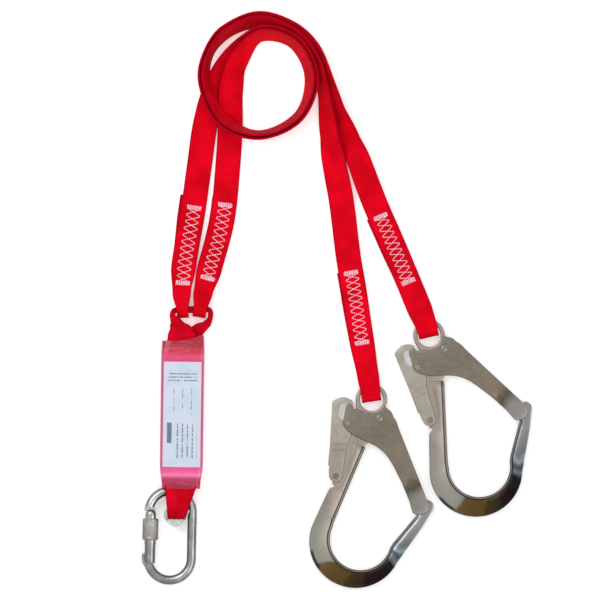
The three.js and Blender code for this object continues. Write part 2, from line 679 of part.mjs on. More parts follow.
// ---------------------------------------------------------------- stitching
// Two crossing zigzags between two bar tacks, lying on the front of a strap.
function stitchPattern(line, from, to, height) {
  const diamonds = 5;
  const halfWidth = 6.5;
  const size = 1.1;
  const place = (s, side) => {
    const exact = (s / line.total) * (line.stations.length - 1);
    const i = Math.min(line.stations.length - 2, Math.floor(exact));
    const a = line.stations[i];
    const b = line.stations[i + 1];
    const centre = a.centre.clone().lerp(b.centre, exact - i);
    return centre.addScaledVector(a.across, side).addScaledVector(a.normal, height);
  };
  const thread = (a, b, width) => {
    const middle = a.clone().add(b).multiplyScalar(0.5);
    const length = a.distanceTo(b) + width * 0.7;
    const geometry = new THREE.BoxGeometry(length, width, size);
    geometry.rotateY(-Math.asin((b.z - a.z) / a.distanceTo(b)));
    geometry.rotateZ(Math.atan2(b.y - a.y, b.x - a.x));
    geometry.translate(middle.x, middle.y, middle.z);
    return toSolid(geometry);
  };
  const parts = [];
  for (let i = 0; i < diamonds; i++) {
    const s0 = mix(from, to, i / diamonds);
    const s1 = mix(from, to, (i + 1) / diamonds);
    const side = i % 2 ? -halfWidth : halfWidth;
    parts.push(thread(place(s0, side), place(s1, -side), size));
    parts.push(thread(place(s0, -side), place(s1, side), size));
  }
  for (const s of [from, to]) {
    parts.push(thread(place(s, -halfWidth - 1), place(s, halfWidth + 1), 3));
  }
  return join(...parts);
}

function buildLegs() {
  const group = new THREE.Group();
  const { inner, outer } = legControls();
  const spacing = 8;
  const legs = [
    { name: "leg_1", line: strapLine(inner, spacing), sewn: [34, 117] },
    { name: "leg_2", line: strapLine(outer, spacing), sewn: [28, 112] },
  ];
  const threadHeight = LAYER_OFFSET + WEB.thickness / 2 + REST_GAP + 0.55;
  for (const { name, line, sewn } of legs) {
    addMesh(group, name + "_webbing", eyedStrap(line, YOKE_EYE, HOOK_EYE), RED_WEBBING);
    const lowerStitching = stitchPattern(line, ...sewn, threadHeight);
    addMesh(group, name + "_lower_stitching", lowerStitching, THREAD);
    const hookStitching = stitchPattern(line, line.total - 137, line.total - 58, threadHeight);
    addMesh(group, name + "_hook_stitching", hookStitching, THREAD);
  }
  return group;
}

// ---------------------------------------------------------------- energy absorber
// Its own frame has its origin at the centre of the pack, with +Y towards the legs.
function coverSolid() {
  const { width, length, thickness, coverWall } = ABSORBER;
  const skin = (grow, extra) => {
    const rings = [];
    const half = length / 2 + extra;
    const across = new THREE.Vector3(1, 0, 0);
    const normal = new THREE.Vector3(0, 0, 1);
    for (const [y, squeeze] of [[-half, 0.95], [-half + 9, 1], [half - 9, 1], [half, 0.95]]) {
      const centre = new THREE.Vector3(0, y, 0);
      const size = { width: width + 2 * grow, thickness: (thickness + 2 * grow) * squeeze };
      rings.push(gatheredRing({ centre, across, normal, ...size }, 16, 0.3));
    }
    return toSolid(loft(rings));
  };
  return skin(0, 0).subtract(skin(-coverWall, 1));
}

// The folded pack: one band laid to and fro, seen as a stack of layers joined at alternate ends.
function tearWebbing() {
  const { layers, layerPitch: pitch } = ABSORBER;
  const halfLength = 68;
  const width = 40;
  const thickness = 2.5;
  const points = [];
  for (let i = 0; i < layers; i++) {
    const z = (i - (layers - 1) / 2) * pitch;
    const side = i % 2 ? -1 : 1;
    points.push([-side * halfLength, z, false], [side * halfLength, z, true]);
  }
  const rings = [];
  const across = new THREE.Vector3(1, 0, 0);
  points.forEach(([y, z, isEnd], i) => {
    const flatNormal = new THREE.Vector3(0, 0, y > 0 === isEnd ? 1 : -1);
    const flatCentre = new THREE.Vector3(0, y, z);
    rings.push(bandRing({ centre: flatCentre, across, normal: flatNormal, width, thickness }));
    if (!isEnd || i === points.length - 1) return;
    const out = Math.sign(y);
    for (const angle of [45, 90, 135]) {
      const normal = new THREE.Vector3(0, out * Math.sin(radians(angle)), -Math.cos(radians(angle)));
      const centre = new THREE.Vector3(0, y, z + pitch / 2).addScaledVector(normal, pitch / 2);
      rings.push(bandRing({ centre, across, normal: normal.multiplyScalar(-out), width, thickness }));
    }
  });
  return loft(rings);
}

// The upper loop: flat at the pack, gathered to a rope where it passes through the legs' eyes.
function upperLoop() {
  const yokeTurn = radians(YOKE.turn);
  const yokeAxis = new THREE.Vector3(Math.cos(yokeTurn), Math.sin(yokeTurn), 0);
  const onYoke = (distance, dx = 0, dy = 0, dz = 0) =>
    YOKE.centre.clone().addScaledVector(yokeAxis, distance).add(new THREE.Vector3(dx, dy, dz));
  const rope = 2 * YOKE.halfWidth;
  const ropeHeight = 2 * YOKE.halfHeight;
  const packLayer = PACK_LAYER_HEIGHT;
  const frontZ = ABSORBER.centre.z + packLayer;
  const backZ = ABSORBER.centre.z - packLayer;
  // Each row is a point of the centre line, then the width and the thickness there.
  const path = [
    [new THREE.Vector3(-126.5, -70, frontZ), 38, 2.2],
    [new THREE.Vector3(-126.4, -50, frontZ - 0.2), 38, 2.2],
    [new THREE.Vector3(-127.2, -39, frontZ - 1.4), 31, 2.8],
    [new THREE.Vector3(-128.2, -29.5, 18.6), 20, 3.8],
    [new THREE.Vector3(-132.8, -23.4, 18.2), 11, 5.4],
    [new THREE.Vector3(-137.4, -18.6, 14.6), 6, 7.6],
    [onYoke(-18.9, 0, -0.6, 0.8), 5.6, 8.4],
    [onYoke(-12.5), rope, ropeHeight],
    [onYoke(0), rope, ropeHeight],
    [onYoke(13), rope, ropeHeight],
    [onYoke(19.8, 0, -1.4, 0), 5.6, 8.4],
    [new THREE.Vector3(-97.6, -19, 8), 6, 7.6],
    [new THREE.Vector3(-101.6, -26.6, 6.4), 9, 5.8],
    [new THREE.Vector3(-109, -34, 5), 15, 4.2],
    [new THREE.Vector3(-118, -42.5, 4), 22, 3],
    [new THREE.Vector3(-125, -55, backZ), 32, 2.2],
    [new THREE.Vector3(-126, -70, backZ), 38, 2.2],
  ];
  const curve = new THREE.CatmullRomCurve3(path.map(([p]) => p), false, "centripetal");
  const rings = [];
  const steps = 36;
  for (let i = 0; i <= steps; i++) {
    const u = i / steps;
    const at = u * (path.length - 1);
    const k = Math.min(path.length - 2, Math.floor(at));
    const f = smooth(at - k);
    const along = curve.getTangent(u);
    const across = new THREE.Vector3(-along.y, along.x, 0).normalize();
    const normal = along.clone().cross(across).normalize();
    rings.push(
      gatheredRing({
        centre: curve.getPoint(u), across, normal,
        width: mix(path[k][1], path[k + 1][1], f), thickness: mix(path[k][2], path[k + 1][2], f),
      }),
    );
  }
  return loft(rings);
}

const GUARD_SCOOP_HALF = 2.2;
// The lower loop hangs below the pack, round the karabiner and its plastic guard.
const LOWER_LOOP = { radius: 9.2, topWidth: 36, bottomWidth: 17, drop: 28.5, shift: -5.4 };
function lowerLoop() {
  const { radius, topWidth, bottomWidth, drop, shift } = LOWER_LOOP;
  const turnY = -ABSORBER.length / 2 - drop;
  const rings = [];
  const across = new THREE.Vector3(1, 0, 0);
  const widthAt = (y) => mix(bottomWidth, topWidth, Math.min(1, (y - turnY) / drop));
  const ys = [-58, -70, -77, -82, -88, -94, -100, turnY];
  const centreX = (y) => mix(0, shift, Math.min(1, Math.max(0, (-y - 77) / drop)));
  const thickness = WEB.thickness;
  const straight = (y, side) => {
    const offset = mix(radius, PACK_LAYER_HEIGHT, smooth((y + 84) / 12));
    const centre = new THREE.Vector3(centreX(y), y, side * offset);
    const normal = new THREE.Vector3(0, 0, side);
    rings.push(bandRing({ centre, across, normal, width: widthAt(y), thickness }));
  };
  ys.forEach((y) => straight(y, 1));
  for (const angle of [30, 60, 90, 120, 150]) {
    const normal = new THREE.Vector3(0, -Math.sin(radians(angle)), Math.cos(radians(angle)));
    const centre = new THREE.Vector3(centreX(turnY), turnY, 0).addScaledVector(normal, radius);
    rings.push(bandRing({ centre, across, normal, width: bottomWidth, thickness }));
  }
  ys.slice().reverse().forEach((y) => straight(y, -1));
  return loft(rings);
}

// A U-shaped plastic saddle inside the turn of the lower loop, with a lip at each side.
function loopGuard() {
  const turnY = -ABSORBER.length / 2 - LOWER_LOOP.drop;
  const inner = LOWER_LOOP.radius - WEB.thickness / 2 - REST_GAP;
  const section = (angle) => {
    const out = new THREE.Vector3(0, -Math.sin(radians(angle)), Math.cos(radians(angle)));
    const at = (x, r) => new THREE.Vector3(LOWER_LOOP.shift + x, turnY, 0).addScaledVector(out, r);
    const lip = inner + 3.2;
    const side = LOWER_LOOP.bottomWidth / 2 + 0.5;
    const thickness = 1.3;
    return [
      at(-side - thickness, lip), at(-side, lip), at(-side, inner), at(side, inner),
      at(side, lip), at(side + thickness, lip),
      at(side + thickness, inner - thickness), at(-side - thickness, inner - thickness),
    ];
  };
  const rings = [];
  const steps = 12;
  for (let i = 0; i <= steps; i++) {
    rings.push(section(mix(0, 180, i / steps)));
  }
  // The section is a channel, so its two ends are closed as three rectangles: a lip, the floor and a lip.
  const channel = [[0, 1, 2], [0, 2, 7], [2, 3, 6], [2, 6, 7], [3, 4, 5], [3, 5, 6]];
  return join(toSolid(loft(rings, channel)), guardScoop(turnY));
}

// The scoop below the saddle joins the two lips and shields the end of the webbing.
function guardScoop(turnY) {
  const half = LOWER_LOOP.bottomWidth / 2 + REST_GAP;
  const inner = turnY - LOWER_LOOP.radius - WEB.thickness / 2 - REST_GAP;
  const x = LOWER_LOOP.shift;
  const outline = shapeOf([
    [x - half, turnY + 1], [x - half - 2.4, turnY + 1],
    [x - half - 4.2, turnY - 3], [x - half - 4, turnY - 8],
    [x - half - 1, turnY - 13], [x - 3.5, turnY - 17.5], [x + 1.5, turnY - 18.5], [x + 5.5, turnY - 16.5],
    [x + half + 1.4, turnY - 9], [x + half + 1.6, turnY + 1], [x + half, turnY + 1],
    [x + half, inner], [x - half, inner],
  ]);
  return plate(outline, -GUARD_SCOOP_HALF, GUARD_SCOOP_HALF);
}

function buildAbsorber() {
  const group = new THREE.Group();
  const pack = new THREE.Group();
  pack.position.copy(ABSORBER.centre);
  pack.rotation.z = radians(ABSORBER.turn);
  group.add(pack);
  addMesh(pack, "absorber_cover", coverSolid(), CLEAR_PLASTIC);
  addMesh(pack, "absorber_tear_webbing", tearWebbing(), RED_WEBBING);
  addMesh(pack, "absorber_lower_loop", lowerLoop(), RED_WEBBING);
  addMesh(pack, "loop_guard", loopGuard(), WHITE_PLASTIC);
  const labelZ = ABSORBER.thickness / 2 + REST_GAP;
  addMesh(pack, "absorber_label", block([39, 114, 0.5], [0, 2, labelZ + 0.25]), LABEL);
  addMesh(group, "absorber_upper_loop", upperLoop(), RED_WEBBING);
  return group;
}

// ---------------------------------------------------------------- the lanyard
const lanyard = new THREE.Group();
lanyard.name = "shock_absorbing_lanyard";
lanyard.add(buildLegs(), buildAbsorber(), buildKarabiner(), ...HOOKS.map(buildHook));

// The origin is the centre of the underside of the bounding box.
const bounds = new THREE.Box3().setFromObject(lanyard, true);
const middle = bounds.getCenter(new THREE.Vector3());
lanyard.position.set(-middle.x, -middle.y, -bounds.min.z);

export default lanyard;
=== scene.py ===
import json
import math

import bmesh
import bpy
import numpy as np
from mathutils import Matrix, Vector
from mathutils.geometry import delaunay_2d_cdt


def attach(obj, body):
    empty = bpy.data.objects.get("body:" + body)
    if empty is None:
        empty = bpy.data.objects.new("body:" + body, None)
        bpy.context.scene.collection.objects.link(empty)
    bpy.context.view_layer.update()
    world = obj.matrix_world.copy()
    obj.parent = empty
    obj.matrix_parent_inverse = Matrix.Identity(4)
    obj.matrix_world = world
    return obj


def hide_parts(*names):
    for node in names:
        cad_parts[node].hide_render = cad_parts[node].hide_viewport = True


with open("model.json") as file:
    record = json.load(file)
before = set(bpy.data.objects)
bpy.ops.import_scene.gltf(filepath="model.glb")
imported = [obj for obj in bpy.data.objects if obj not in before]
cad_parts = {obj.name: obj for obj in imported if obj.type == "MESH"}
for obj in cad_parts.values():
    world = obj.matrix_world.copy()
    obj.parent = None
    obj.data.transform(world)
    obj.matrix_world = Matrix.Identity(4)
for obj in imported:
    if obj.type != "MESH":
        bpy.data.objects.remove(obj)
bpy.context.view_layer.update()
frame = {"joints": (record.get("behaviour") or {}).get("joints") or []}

# Sizes are millimetres in the lanyard's own drawing frame, where the hooks' plane is z = 7.2.
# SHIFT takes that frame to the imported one, through the joint at the first hook's eye.
MM = 0.001
HOOK_PLANE = 7.2
HOOKS = {
    "hook_1": {"eye": (77.2, -107.4), "turn": -22.9},
    "hook_2": {"eye": (139.3, -38.1), "turn": 2.6},
}
joint_place = {joint["name"]: joint.get("pos_m") for joint in frame["joints"]}
SHIFT = np.array(joint_place["hook_1_swing"]) / MM - (*HOOKS["hook_1"]["eye"], HOOK_PLANE)

rng = np.random.default_rng(7)


# ---------------------------------------------------------------- small tools
def smooth(t):
    c = np.clip(t, 0.0, 1.0)
    return c * c * (3 - 2 * c)


def mix(a, b, t):
    return a + (b - a) * t


def unit(vectors):
    v = np.asarray(vectors, float)
    return v / np.linalg.norm(v, axis=-1, keepdims=True)


def placed(points, origin=(0, 0, 0), turn=0.0):
    """Points of a local frame, turned about Z by degrees and moved to its origin."""
    p = np.asarray(points, float)
    c = math.cos(math.radians(turn))
    s = math.sin(math.radians(turn))
    turned = np.column_stack([p[:, 0] * c - p[:, 1] * s, p[:, 0] * s + p[:, 1] * c, p[:, 2]])
    return turned + np.asarray(origin, float)


def srgb(red, green, blue):
    """A colour as the eye sees it, 0 to 255, in the linear values that the shaders take."""
    share = np.array([red, green, blue]) / 255
    linear = np.where(share <= 0.04045, share / 12.92, ((share + 0.055) / 1.055) ** 2.4)
    return (*linear.tolist(), 1.0)


# ---------------------------------------------------------------- meshes
def tidy_mesh(mesh, weld):
    bm = bmesh.new()
    bm.from_mesh(mesh)
    bmesh.ops.remove_doubles(bm, verts=bm.verts, dist=weld)
    bmesh.ops.dissolve_degenerate(bm, edges=bm.edges, dist=weld * 0.1)
    bmesh.ops.recalc_face_normals(bm, faces=bm.faces)
    bm.to_mesh(mesh)
    bm.free()


def raw_object(points, faces, weld=1e-3):
    mesh = bpy.data.meshes.new("raw")
    mesh.from_pydata(np.asarray(points, float).tolist(), [], faces)
    tidy_mesh(mesh, weld)
    obj = bpy.data.objects.new("raw", mesh)
    bpy.context.scene.collection.objects.link(obj)
    return obj


def carve(base, others, operation):
    """A union or difference of closed shapes, each a pair of points and faces."""
    obj = raw_object(*base)
    tools = [raw_object(*other) for other in others]
    for tool in tools:
        modifier = obj.modifiers.new("carve", "BOOLEAN")
        modifier.operation = operation
        modifier.solver = "MANIFOLD"
        modifier.object = tool
    graph = bpy.context.evaluated_depsgraph_get()
    mesh = bpy.data.meshes.new_from_object(obj.evaluated_get(graph))
    points = np.array([v.co for v in mesh.vertices], float).reshape(-1, 3)
    faces = [tuple(p.vertices) for p in mesh.polygons]
    for used in [obj, *tools]:
        bpy.data.objects.remove(used)
    return points, faces


def new_piece(name, shape, material, body, stands_for=(), marks=None, sharp=32):
    """A piece from points and faces in drawing millimetres, riding on a CAD body.

    marks holds float attributes by name, one value or vector per point, for its material.
    """
    points, faces = shape
    mesh = bpy.data.meshes.new(name)
    mesh.from_pydata(((np.asarray(points, float) + SHIFT) * MM).tolist(), [], faces)
    for key, values in (marks or {}).items():
        values = np.asarray(values, np.float32)
        kind = "FLOAT" if values.ndim == 1 else "FLOAT_VECTOR"
        attribute = mesh.attributes.new(key, kind, "POINT")
        attribute.data.foreach_set("value" if values.ndim == 1 else "vector", values.ravel())
    tidy_mesh(mesh, 1e-7)
    mesh.polygons.foreach_set("use_smooth", [True] * len(mesh.polygons))
    mesh.set_sharp_from_angle(angle=math.radians(sharp))
    mesh.materials.append(material)
    obj = bpy.data.objects.new(name, mesh)
    bpy.context.scene.collection.objects.link(obj)
    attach(obj, body)
    if stands_for:
        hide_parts(*stands_for)
    return obj


def merged(shapes):
    """Several shapes as one list of points and faces."""
    points, faces, start = [], [], 0
    for own_points, own_faces in shapes:
        points.append(np.asarray(own_points, float))
        faces.extend(tuple(int(i) + start for i in face) for face in own_faces)
        start += len(own_points)
    return np.vstack(points), faces


def skin(rings, closed=False):
    """A surface through rings of equal length: capped at both ends, or joined end to end."""
    rings = np.asarray(rings, float)
    count, sides = rings.shape[:2]
    faces = []
    for i in range(count if closed else count - 1):
        a, b = i * sides, (i + 1) % count * sides
        faces.extend((a + k, a + (k + 1) % sides, b + (k + 1) % sides, b + k) for k in range(sides))
    if not closed:
        faces.append(tuple(range(sides))[::-1])
        faces.append(tuple(range((count - 1) * sides, count * sides)))
    return rings.reshape(-1, 3), faces


def tube(points, radius, sides=10):
    """A round wire or bar along a line; radius may be one number or one for each point."""
    points = np.asarray(points, float)
    radii = np.broadcast_to(radius, len(points))
    along = unit(np.gradient(points, axis=0))
    up = np.array([0, 0, 1.0])
    if abs(along[0] @ up) > 0.9:
        up = np.array([1.0, 0, 0])
    angles = np.arange(sides) * 2 * math.pi / sides
    rings = []
    for point, direction, r in zip(points, along, radii):
        up = unit(up - direction * (up @ direction))
        side = np.cross(up, direction)
        rings.append(point + r * (np.outer(np.cos(angles), side) + np.outer(np.sin(angles), up)))
    return skin(rings)


def lathe(profile, segments=48):
    """A turned shape about Z from (radius, height) points; its ends lie on the axis."""
    profile = np.asarray(profile, float)
    angles = np.arange(segments) * 2 * math.pi / segments
    rings = [
        np.column_stack([r * np.cos(angles), r * np.sin(angles), np.full(segments, z)])
        for r, z in np.maximum(profile, (1e-4, -1e9))
    ]
    return skin(rings)


def box_shape(low, high):
    corners = [(x, y, z) for z in (low[2], high[2]) for y in (low[1], high[1]) for x in (low[0], high[0])]
    faces = [(0, 2, 3, 1), (4, 5, 7, 6), (0, 1, 5, 4), (2, 6, 7, 3), (0, 4, 6, 2), (1, 3, 7, 5)]
    return corners, faces


def along_y(shape):
    """Turns a shape's Z axis to +Y."""
    points, faces = shape
    p = np.asarray(points, float)
    return np.column_stack([p[:, 0], p[:, 2], -p[:, 1]]), faces


def moved(shape, offset):
    return np.asarray(shape[0], float) + np.asarray(offset, float), shape[1]


# ---------------------------------------------------------------- flat outlines
def arc(centre, radius, start, end, steps=24):
    angles = np.radians(np.linspace(start, end, steps))
    return np.column_stack([centre[0] + radius * np.cos(angles), centre[1] + radius * np.sin(angles)])


def rounded(points, radius, steps=5):
    """A closed outline with each corner replaced by a short curve."""
    points = np.asarray(points, float)
    out = []
    for before, corner, after in zip(np.roll(points, 1, 0), points, np.roll(points, -1, 0)):
        to_before, to_after = before - corner, after - corner
        reach_before, reach_after = np.linalg.norm(to_before), np.linalg.norm(to_after)
        cut = min(radius, 0.45 * reach_before, 0.45 * reach_after)
        a = corner + to_before / reach_before * cut
        b = corner + to_after / reach_after * cut
        for t in np.linspace(0, 1, steps):
            out.append((1 - t) ** 2 * a + 2 * t * (1 - t) * corner + t**2 * b)
    return np.array(out)


def area(loop):
    x, y = loop[:, 0], loop[:, 1]
    return 0.5 * float(np.sum(x * np.roll(y, -1) - np.roll(x, -1) * y))


def inset(loop, distance):
    """The outline moved inwards by a distance, or by one distance for each point."""
    before = unit(loop - np.roll(loop, 1, 0))
    after = unit(np.roll(loop, -1, 0) - loop)
    turned = area(loop) > 0
    normal_before = np.column_stack([-before[:, 1], before[:, 0]]) * (1 if turned else -1)
    normal_after = np.column_stack([-after[:, 1], after[:, 0]]) * (1 if turned else -1)
    joined = normal_before + normal_after
    spread = np.maximum(1 + np.sum(normal_before * normal_after, axis=1), 0.35)
    return loop + joined / spread[:, None] * np.broadcast_to(distance, len(loop))[:, None]


def inside(loops, points):
    """Whether each point is within the outline and outside its holes."""
    crossings = np.zeros(len(points), int)
    for loop in loops:
        a, b = loop, np.roll(loop, -1, 0)
        for (ax, ay), (bx, by) in zip(a, b):
            straddles = (ay > points[:, 1]) != (by > points[:, 1])
            if straddles.any():
                x = ax + (points[:, 1] - ay) * (bx - ax) / (by - ay if by != ay else 1e-12)
                crossings += straddles & (points[:, 0] < x)
    return crossings % 2 == 1


def cap(loops, height, relief=None, spacing=2.0):
    """A flat face with holes, with enough inner points to carry a pressed relief."""
    rim = np.vstack(loops)
    edges, start = [], 0
    for loop in loops:
        edges.extend((start + i, start + (i + 1) % len(loop)) for i in range(len(loop)))
        start += len(loop)
    low, high = rim.min(0), rim.max(0)
    inner = np.zeros((0, 2))
    if relief is not None:
        grid = np.array(np.meshgrid(np.arange(low[0], high[0], spacing), np.arange(low[1], high[1], spacing)))
        grid = grid.reshape(2, -1).T
        grid = grid[inside(loops, grid)]
        away = np.array([np.min(np.sum((rim - g) ** 2, axis=1)) for g in grid])
        inner = grid[away > (0.5 * spacing) ** 2]
    flat = np.vstack([rim, inner])
    made = delaunay_2d_cdt([Vector(p) for p in flat], edges, [], 0, 1e-5)
    points = np.array([tuple(p) for p in made[0]], float)
    faces = [tuple(f) for f in made[2]]
    middles = np.array([points[list(f)].mean(0) for f in faces])
    faces = [f for f, kept in zip(faces, inside(loops, middles)) if kept]
    z = np.full(len(points), float(height))
    if relief is not None:
        z += np.array([relief(x, y) for x, y in points])
    return np.column_stack([points, z]), faces


def plate(outline, bottom, top, edge=((0.0, 0.5), (0.15, 0.15), (0.5, 0.0)), holes=(), relief=None, scale=1.0,
          both=True):
    """A flat solid with shaped rims. edge lists (inset, drop below the face) from the wall to the face.

    scale stretches the inset for each outline point. relief lowers the top face, and mirrored, the bottom one.
    """
    loops = [np.asarray(outline, float), *[np.asarray(h, float) for h in holes]]
    loops = [loop if (area(loop) > 0) == (i == 0) else loop[::-1] for i, loop in enumerate(loops)]
    scales = [np.broadcast_to(scale, len(loops[0]))] + [np.ones(len(h)) for h in loops[1:]]
    if area(np.asarray(outline, float)) < 0:
        scales[0] = scales[0][::-1]
    shapes = []
    face_loops = []
    bottom_edge = edge if both else ((0.0, 0.0),)
    for i, (loop, share) in enumerate(zip(loops, scales)):
        sign = 1 if i == 0 else -1
        rings = []
        for distance, drop in bottom_edge[::-1]:
            rings.append(np.column_stack([inset(loop, sign * distance * share), np.full(len(loop), bottom + drop)]))
        for distance, drop in edge:
            rings.append(np.column_stack([inset(loop, sign * distance * share), np.full(len(loop), top - drop)]))
        points, faces = skin(rings)
        shapes.append((points, faces[:-2]))
        face_loops.append((rings[0][:, :2], rings[-1][:, :2]))
    shapes.append(cap([pair[1] for pair in face_loops], top, relief))
    mirrored = (lambda x, y: -relief(x, y)) if relief and both else None
    shapes.append(cap([pair[0] for pair in face_loops], bottom, mirrored))
    return merged(shapes)


# ---------------------------------------------------------------- materials
class Finish:
    """A node material with short calls for what the finishes share."""

    def __init__(self, name):
        self.material = bpy.data.materials.new(name)
        self.material.use_nodes = True
        self.tree = self.material.node_tree
        self.tree.nodes.clear()

    def add(self, kind, inputs=None, **settings):
        node = self.tree.nodes.new(kind)
        for key, value in settings.items():
            setattr(node, key, value)
        for key, value in (inputs or {}).items():
            self.feed(node.inputs[key], value)
        return node

    def feed(self, socket, value):
        if isinstance(value, bpy.types.NodeSocket):
            self.tree.links.new(value, socket)
        else:
            socket.default_value = value

    def math(self, operation, a, b=0.0, c=0.0):
        node = self.add("ShaderNodeMath", {0: a, 1: b, 2: c}, operation=operation)
        return node.outputs[0]

    def step(self, value, low, high, to_low=0.0, to_high=1.0):
        inputs = {"Value": value, "From Min": low, "From Max": high, "To Min": to_low, "To Max": to_high}
        return self.add("ShaderNodeMapRange", inputs, interpolation_type="SMOOTHSTEP").outputs[0]

    def blend(self, factor, a, b, mode="MIX"):
        node = self.add("ShaderNodeMix", data_type="RGBA", blend_type=mode)
        self.feed(node.inputs["Factor"], factor)
        self.feed(node.inputs[6], a)
        self.feed(node.inputs[7], b)
        return node.outputs[2]

    def ramp(self, value, stops):
        node = self.add("ShaderNodeValToRGB", {"Fac": value})
        elements = node.color_ramp.elements
        while len(elements) < len(stops):
            elements.new(0.5)
        for element, (place, colour) in zip(elements, stops):
            element.position = place
            element.color = colour
        return node.outputs["Color"]

    def noise(self, vector, scale, detail=3.0, roughness=0.5):
        inputs = {"Vector": vector, "Scale": scale, "Detail": detail, "Roughness": roughness}
        return self.add("ShaderNodeTexNoise", inputs).outputs["Fac"]

    def place(self, stretch=(1, 1, 1)):
        """The object's own coordinates in millimetres, stretched by axis."""
        texture = self.add("ShaderNodeTexCoord")
        scale = tuple(v / MM for v in stretch)
        node = self.add("ShaderNodeMapping", {"Vector": texture.outputs["Object"], "Scale": scale})
        return node.outputs["Vector"]

    def mark(self, name):
        node = self.add("ShaderNodeAttribute", attribute_name=name)
        return node

    def split(self, vector):
        return self.add("ShaderNodeSeparateXYZ", {0: vector}).outputs

    def bump(self, height, depth, strength=1.0):
        """Bump whose full height is a depth in millimetres."""
        inputs = {"Height": height, "Distance": depth * MM, "Strength": strength}
        return self.add("ShaderNodeBump", inputs).outputs["Normal"]

    def principled(self, **inputs):
        named = {key.replace("_", " "): value for key, value in inputs.items()}
        return self.add("ShaderNodeBsdfPrincipled", named)

    def done(self, shader):
        out = self.add("ShaderNodeOutputMaterial")
        self.tree.links.new(shader.outputs[0], out.inputs["Surface"])
        return self.material


def webbing_finish(name, bright, deep, edge):
    """Woven polyester: ribs along the strap, picks across it and a rolled selvedge."""
    f = Finish(name)
    weave = f.mark("weave").outputs["Vector"]
    along, across, _ = f.split(weave)[:3]
    rib = f.math("SINE", f.math("MULTIPLY", across, 2 * math.pi / 1.7))
    row = f.math("FLOOR", f.math("DIVIDE", across, 1.7))
    shift = f.math("MULTIPLY", row, math.pi)
    pick = f.math("SINE", f.math("ADD", f.math("MULTIPLY", along, 2 * math.pi / 1.9), shift))
    height = f.math("ADD", f.math("MULTIPLY", f.math("ABSOLUTE", rib), 0.6), f.math("MULTIPLY", pick, 0.4))
    place = f.place()
    patches = f.noise(place, 0.045, 2.0)
    fibres = f.noise(f.place((1, 1, 1)), 0.9, 4.0, 0.65)
    shade = f.math("ADD", f.math("MULTIPLY", patches, 0.75), f.math("MULTIPLY", fibres, 0.25))
    colour = f.blend(f.step(shade, 0.34, 0.66), deep, bright)
    # Painted shade: the weave's valleys between the ribs are darkened.
    colour = f.blend(f.step(height, -0.35, 0.4, 0.42, 0.0), colour, srgb(96, 0, 12))
    bands = f.noise(f.add("ShaderNodeCombineXYZ", {0: along}).outputs[0], 0.35, 2.0)
    colour = f.blend(f.step(bands, 0.55, 0.75, 0.0, 0.2), colour, srgb(245, 30, 70))
    selvedge = f.math("ABSOLUTE", f.mark("edge").outputs["Fac"])
    colour = f.blend(f.step(selvedge, 0.86, 0.97, 0.0, 0.75), colour, edge)
    worn = f.math("MULTIPLY", f.step(fibres, 0.62, 0.75), f.step(selvedge, 0.8, 0.98, 0.04, 0.25))
    colour = f.blend(worn, colour, srgb(238, 90, 118))
    # Painted shade: the strap darkens where it turns away from the view, as where it stands on edge in the coil.
    facing = f.add("ShaderNodeLayerWeight", {"Blend": 0.5}).outputs["Facing"]
    colour = f.blend(f.step(facing, 0.45, 0.95, 0.0, 0.5), colour, srgb(92, 0, 10))
    normal = f.bump(f.math("ADD", height, f.math("MULTIPLY", fibres, 0.7)), 0.16, 0.85)
    rough = f.step(fibres, 0.3, 0.7, 0.62, 0.85)
    shader = f.principled(Base_Color=colour, Roughness=rough, Specular_IOR_Level=0.04, Normal=normal)
    return f.done(shader)


def thread_finish():
    """Twisted sewing thread, a little stained by the red webbing."""
    f = Finish("thread")
    place = f.place()
    stain = f.noise(place, 0.25, 3.0)
    ply = f.noise(f.place((1, 1, 3)), 3.0, 2.0)
    colour = f.blend(f.step(stain, 0.35, 0.7), srgb(252, 222, 230), srgb(244, 176, 196))
    colour = f.blend(f.step(ply, 0.35, 0.6, 0.35, 0.0), colour, srgb(214, 120, 150))
    shader = f.principled(
        Base_Color=colour, Roughness=0.55, Sheen_Weight=0.3, Normal=f.bump(ply, 0.12, 0.8),
    )
    return f.done(shader)


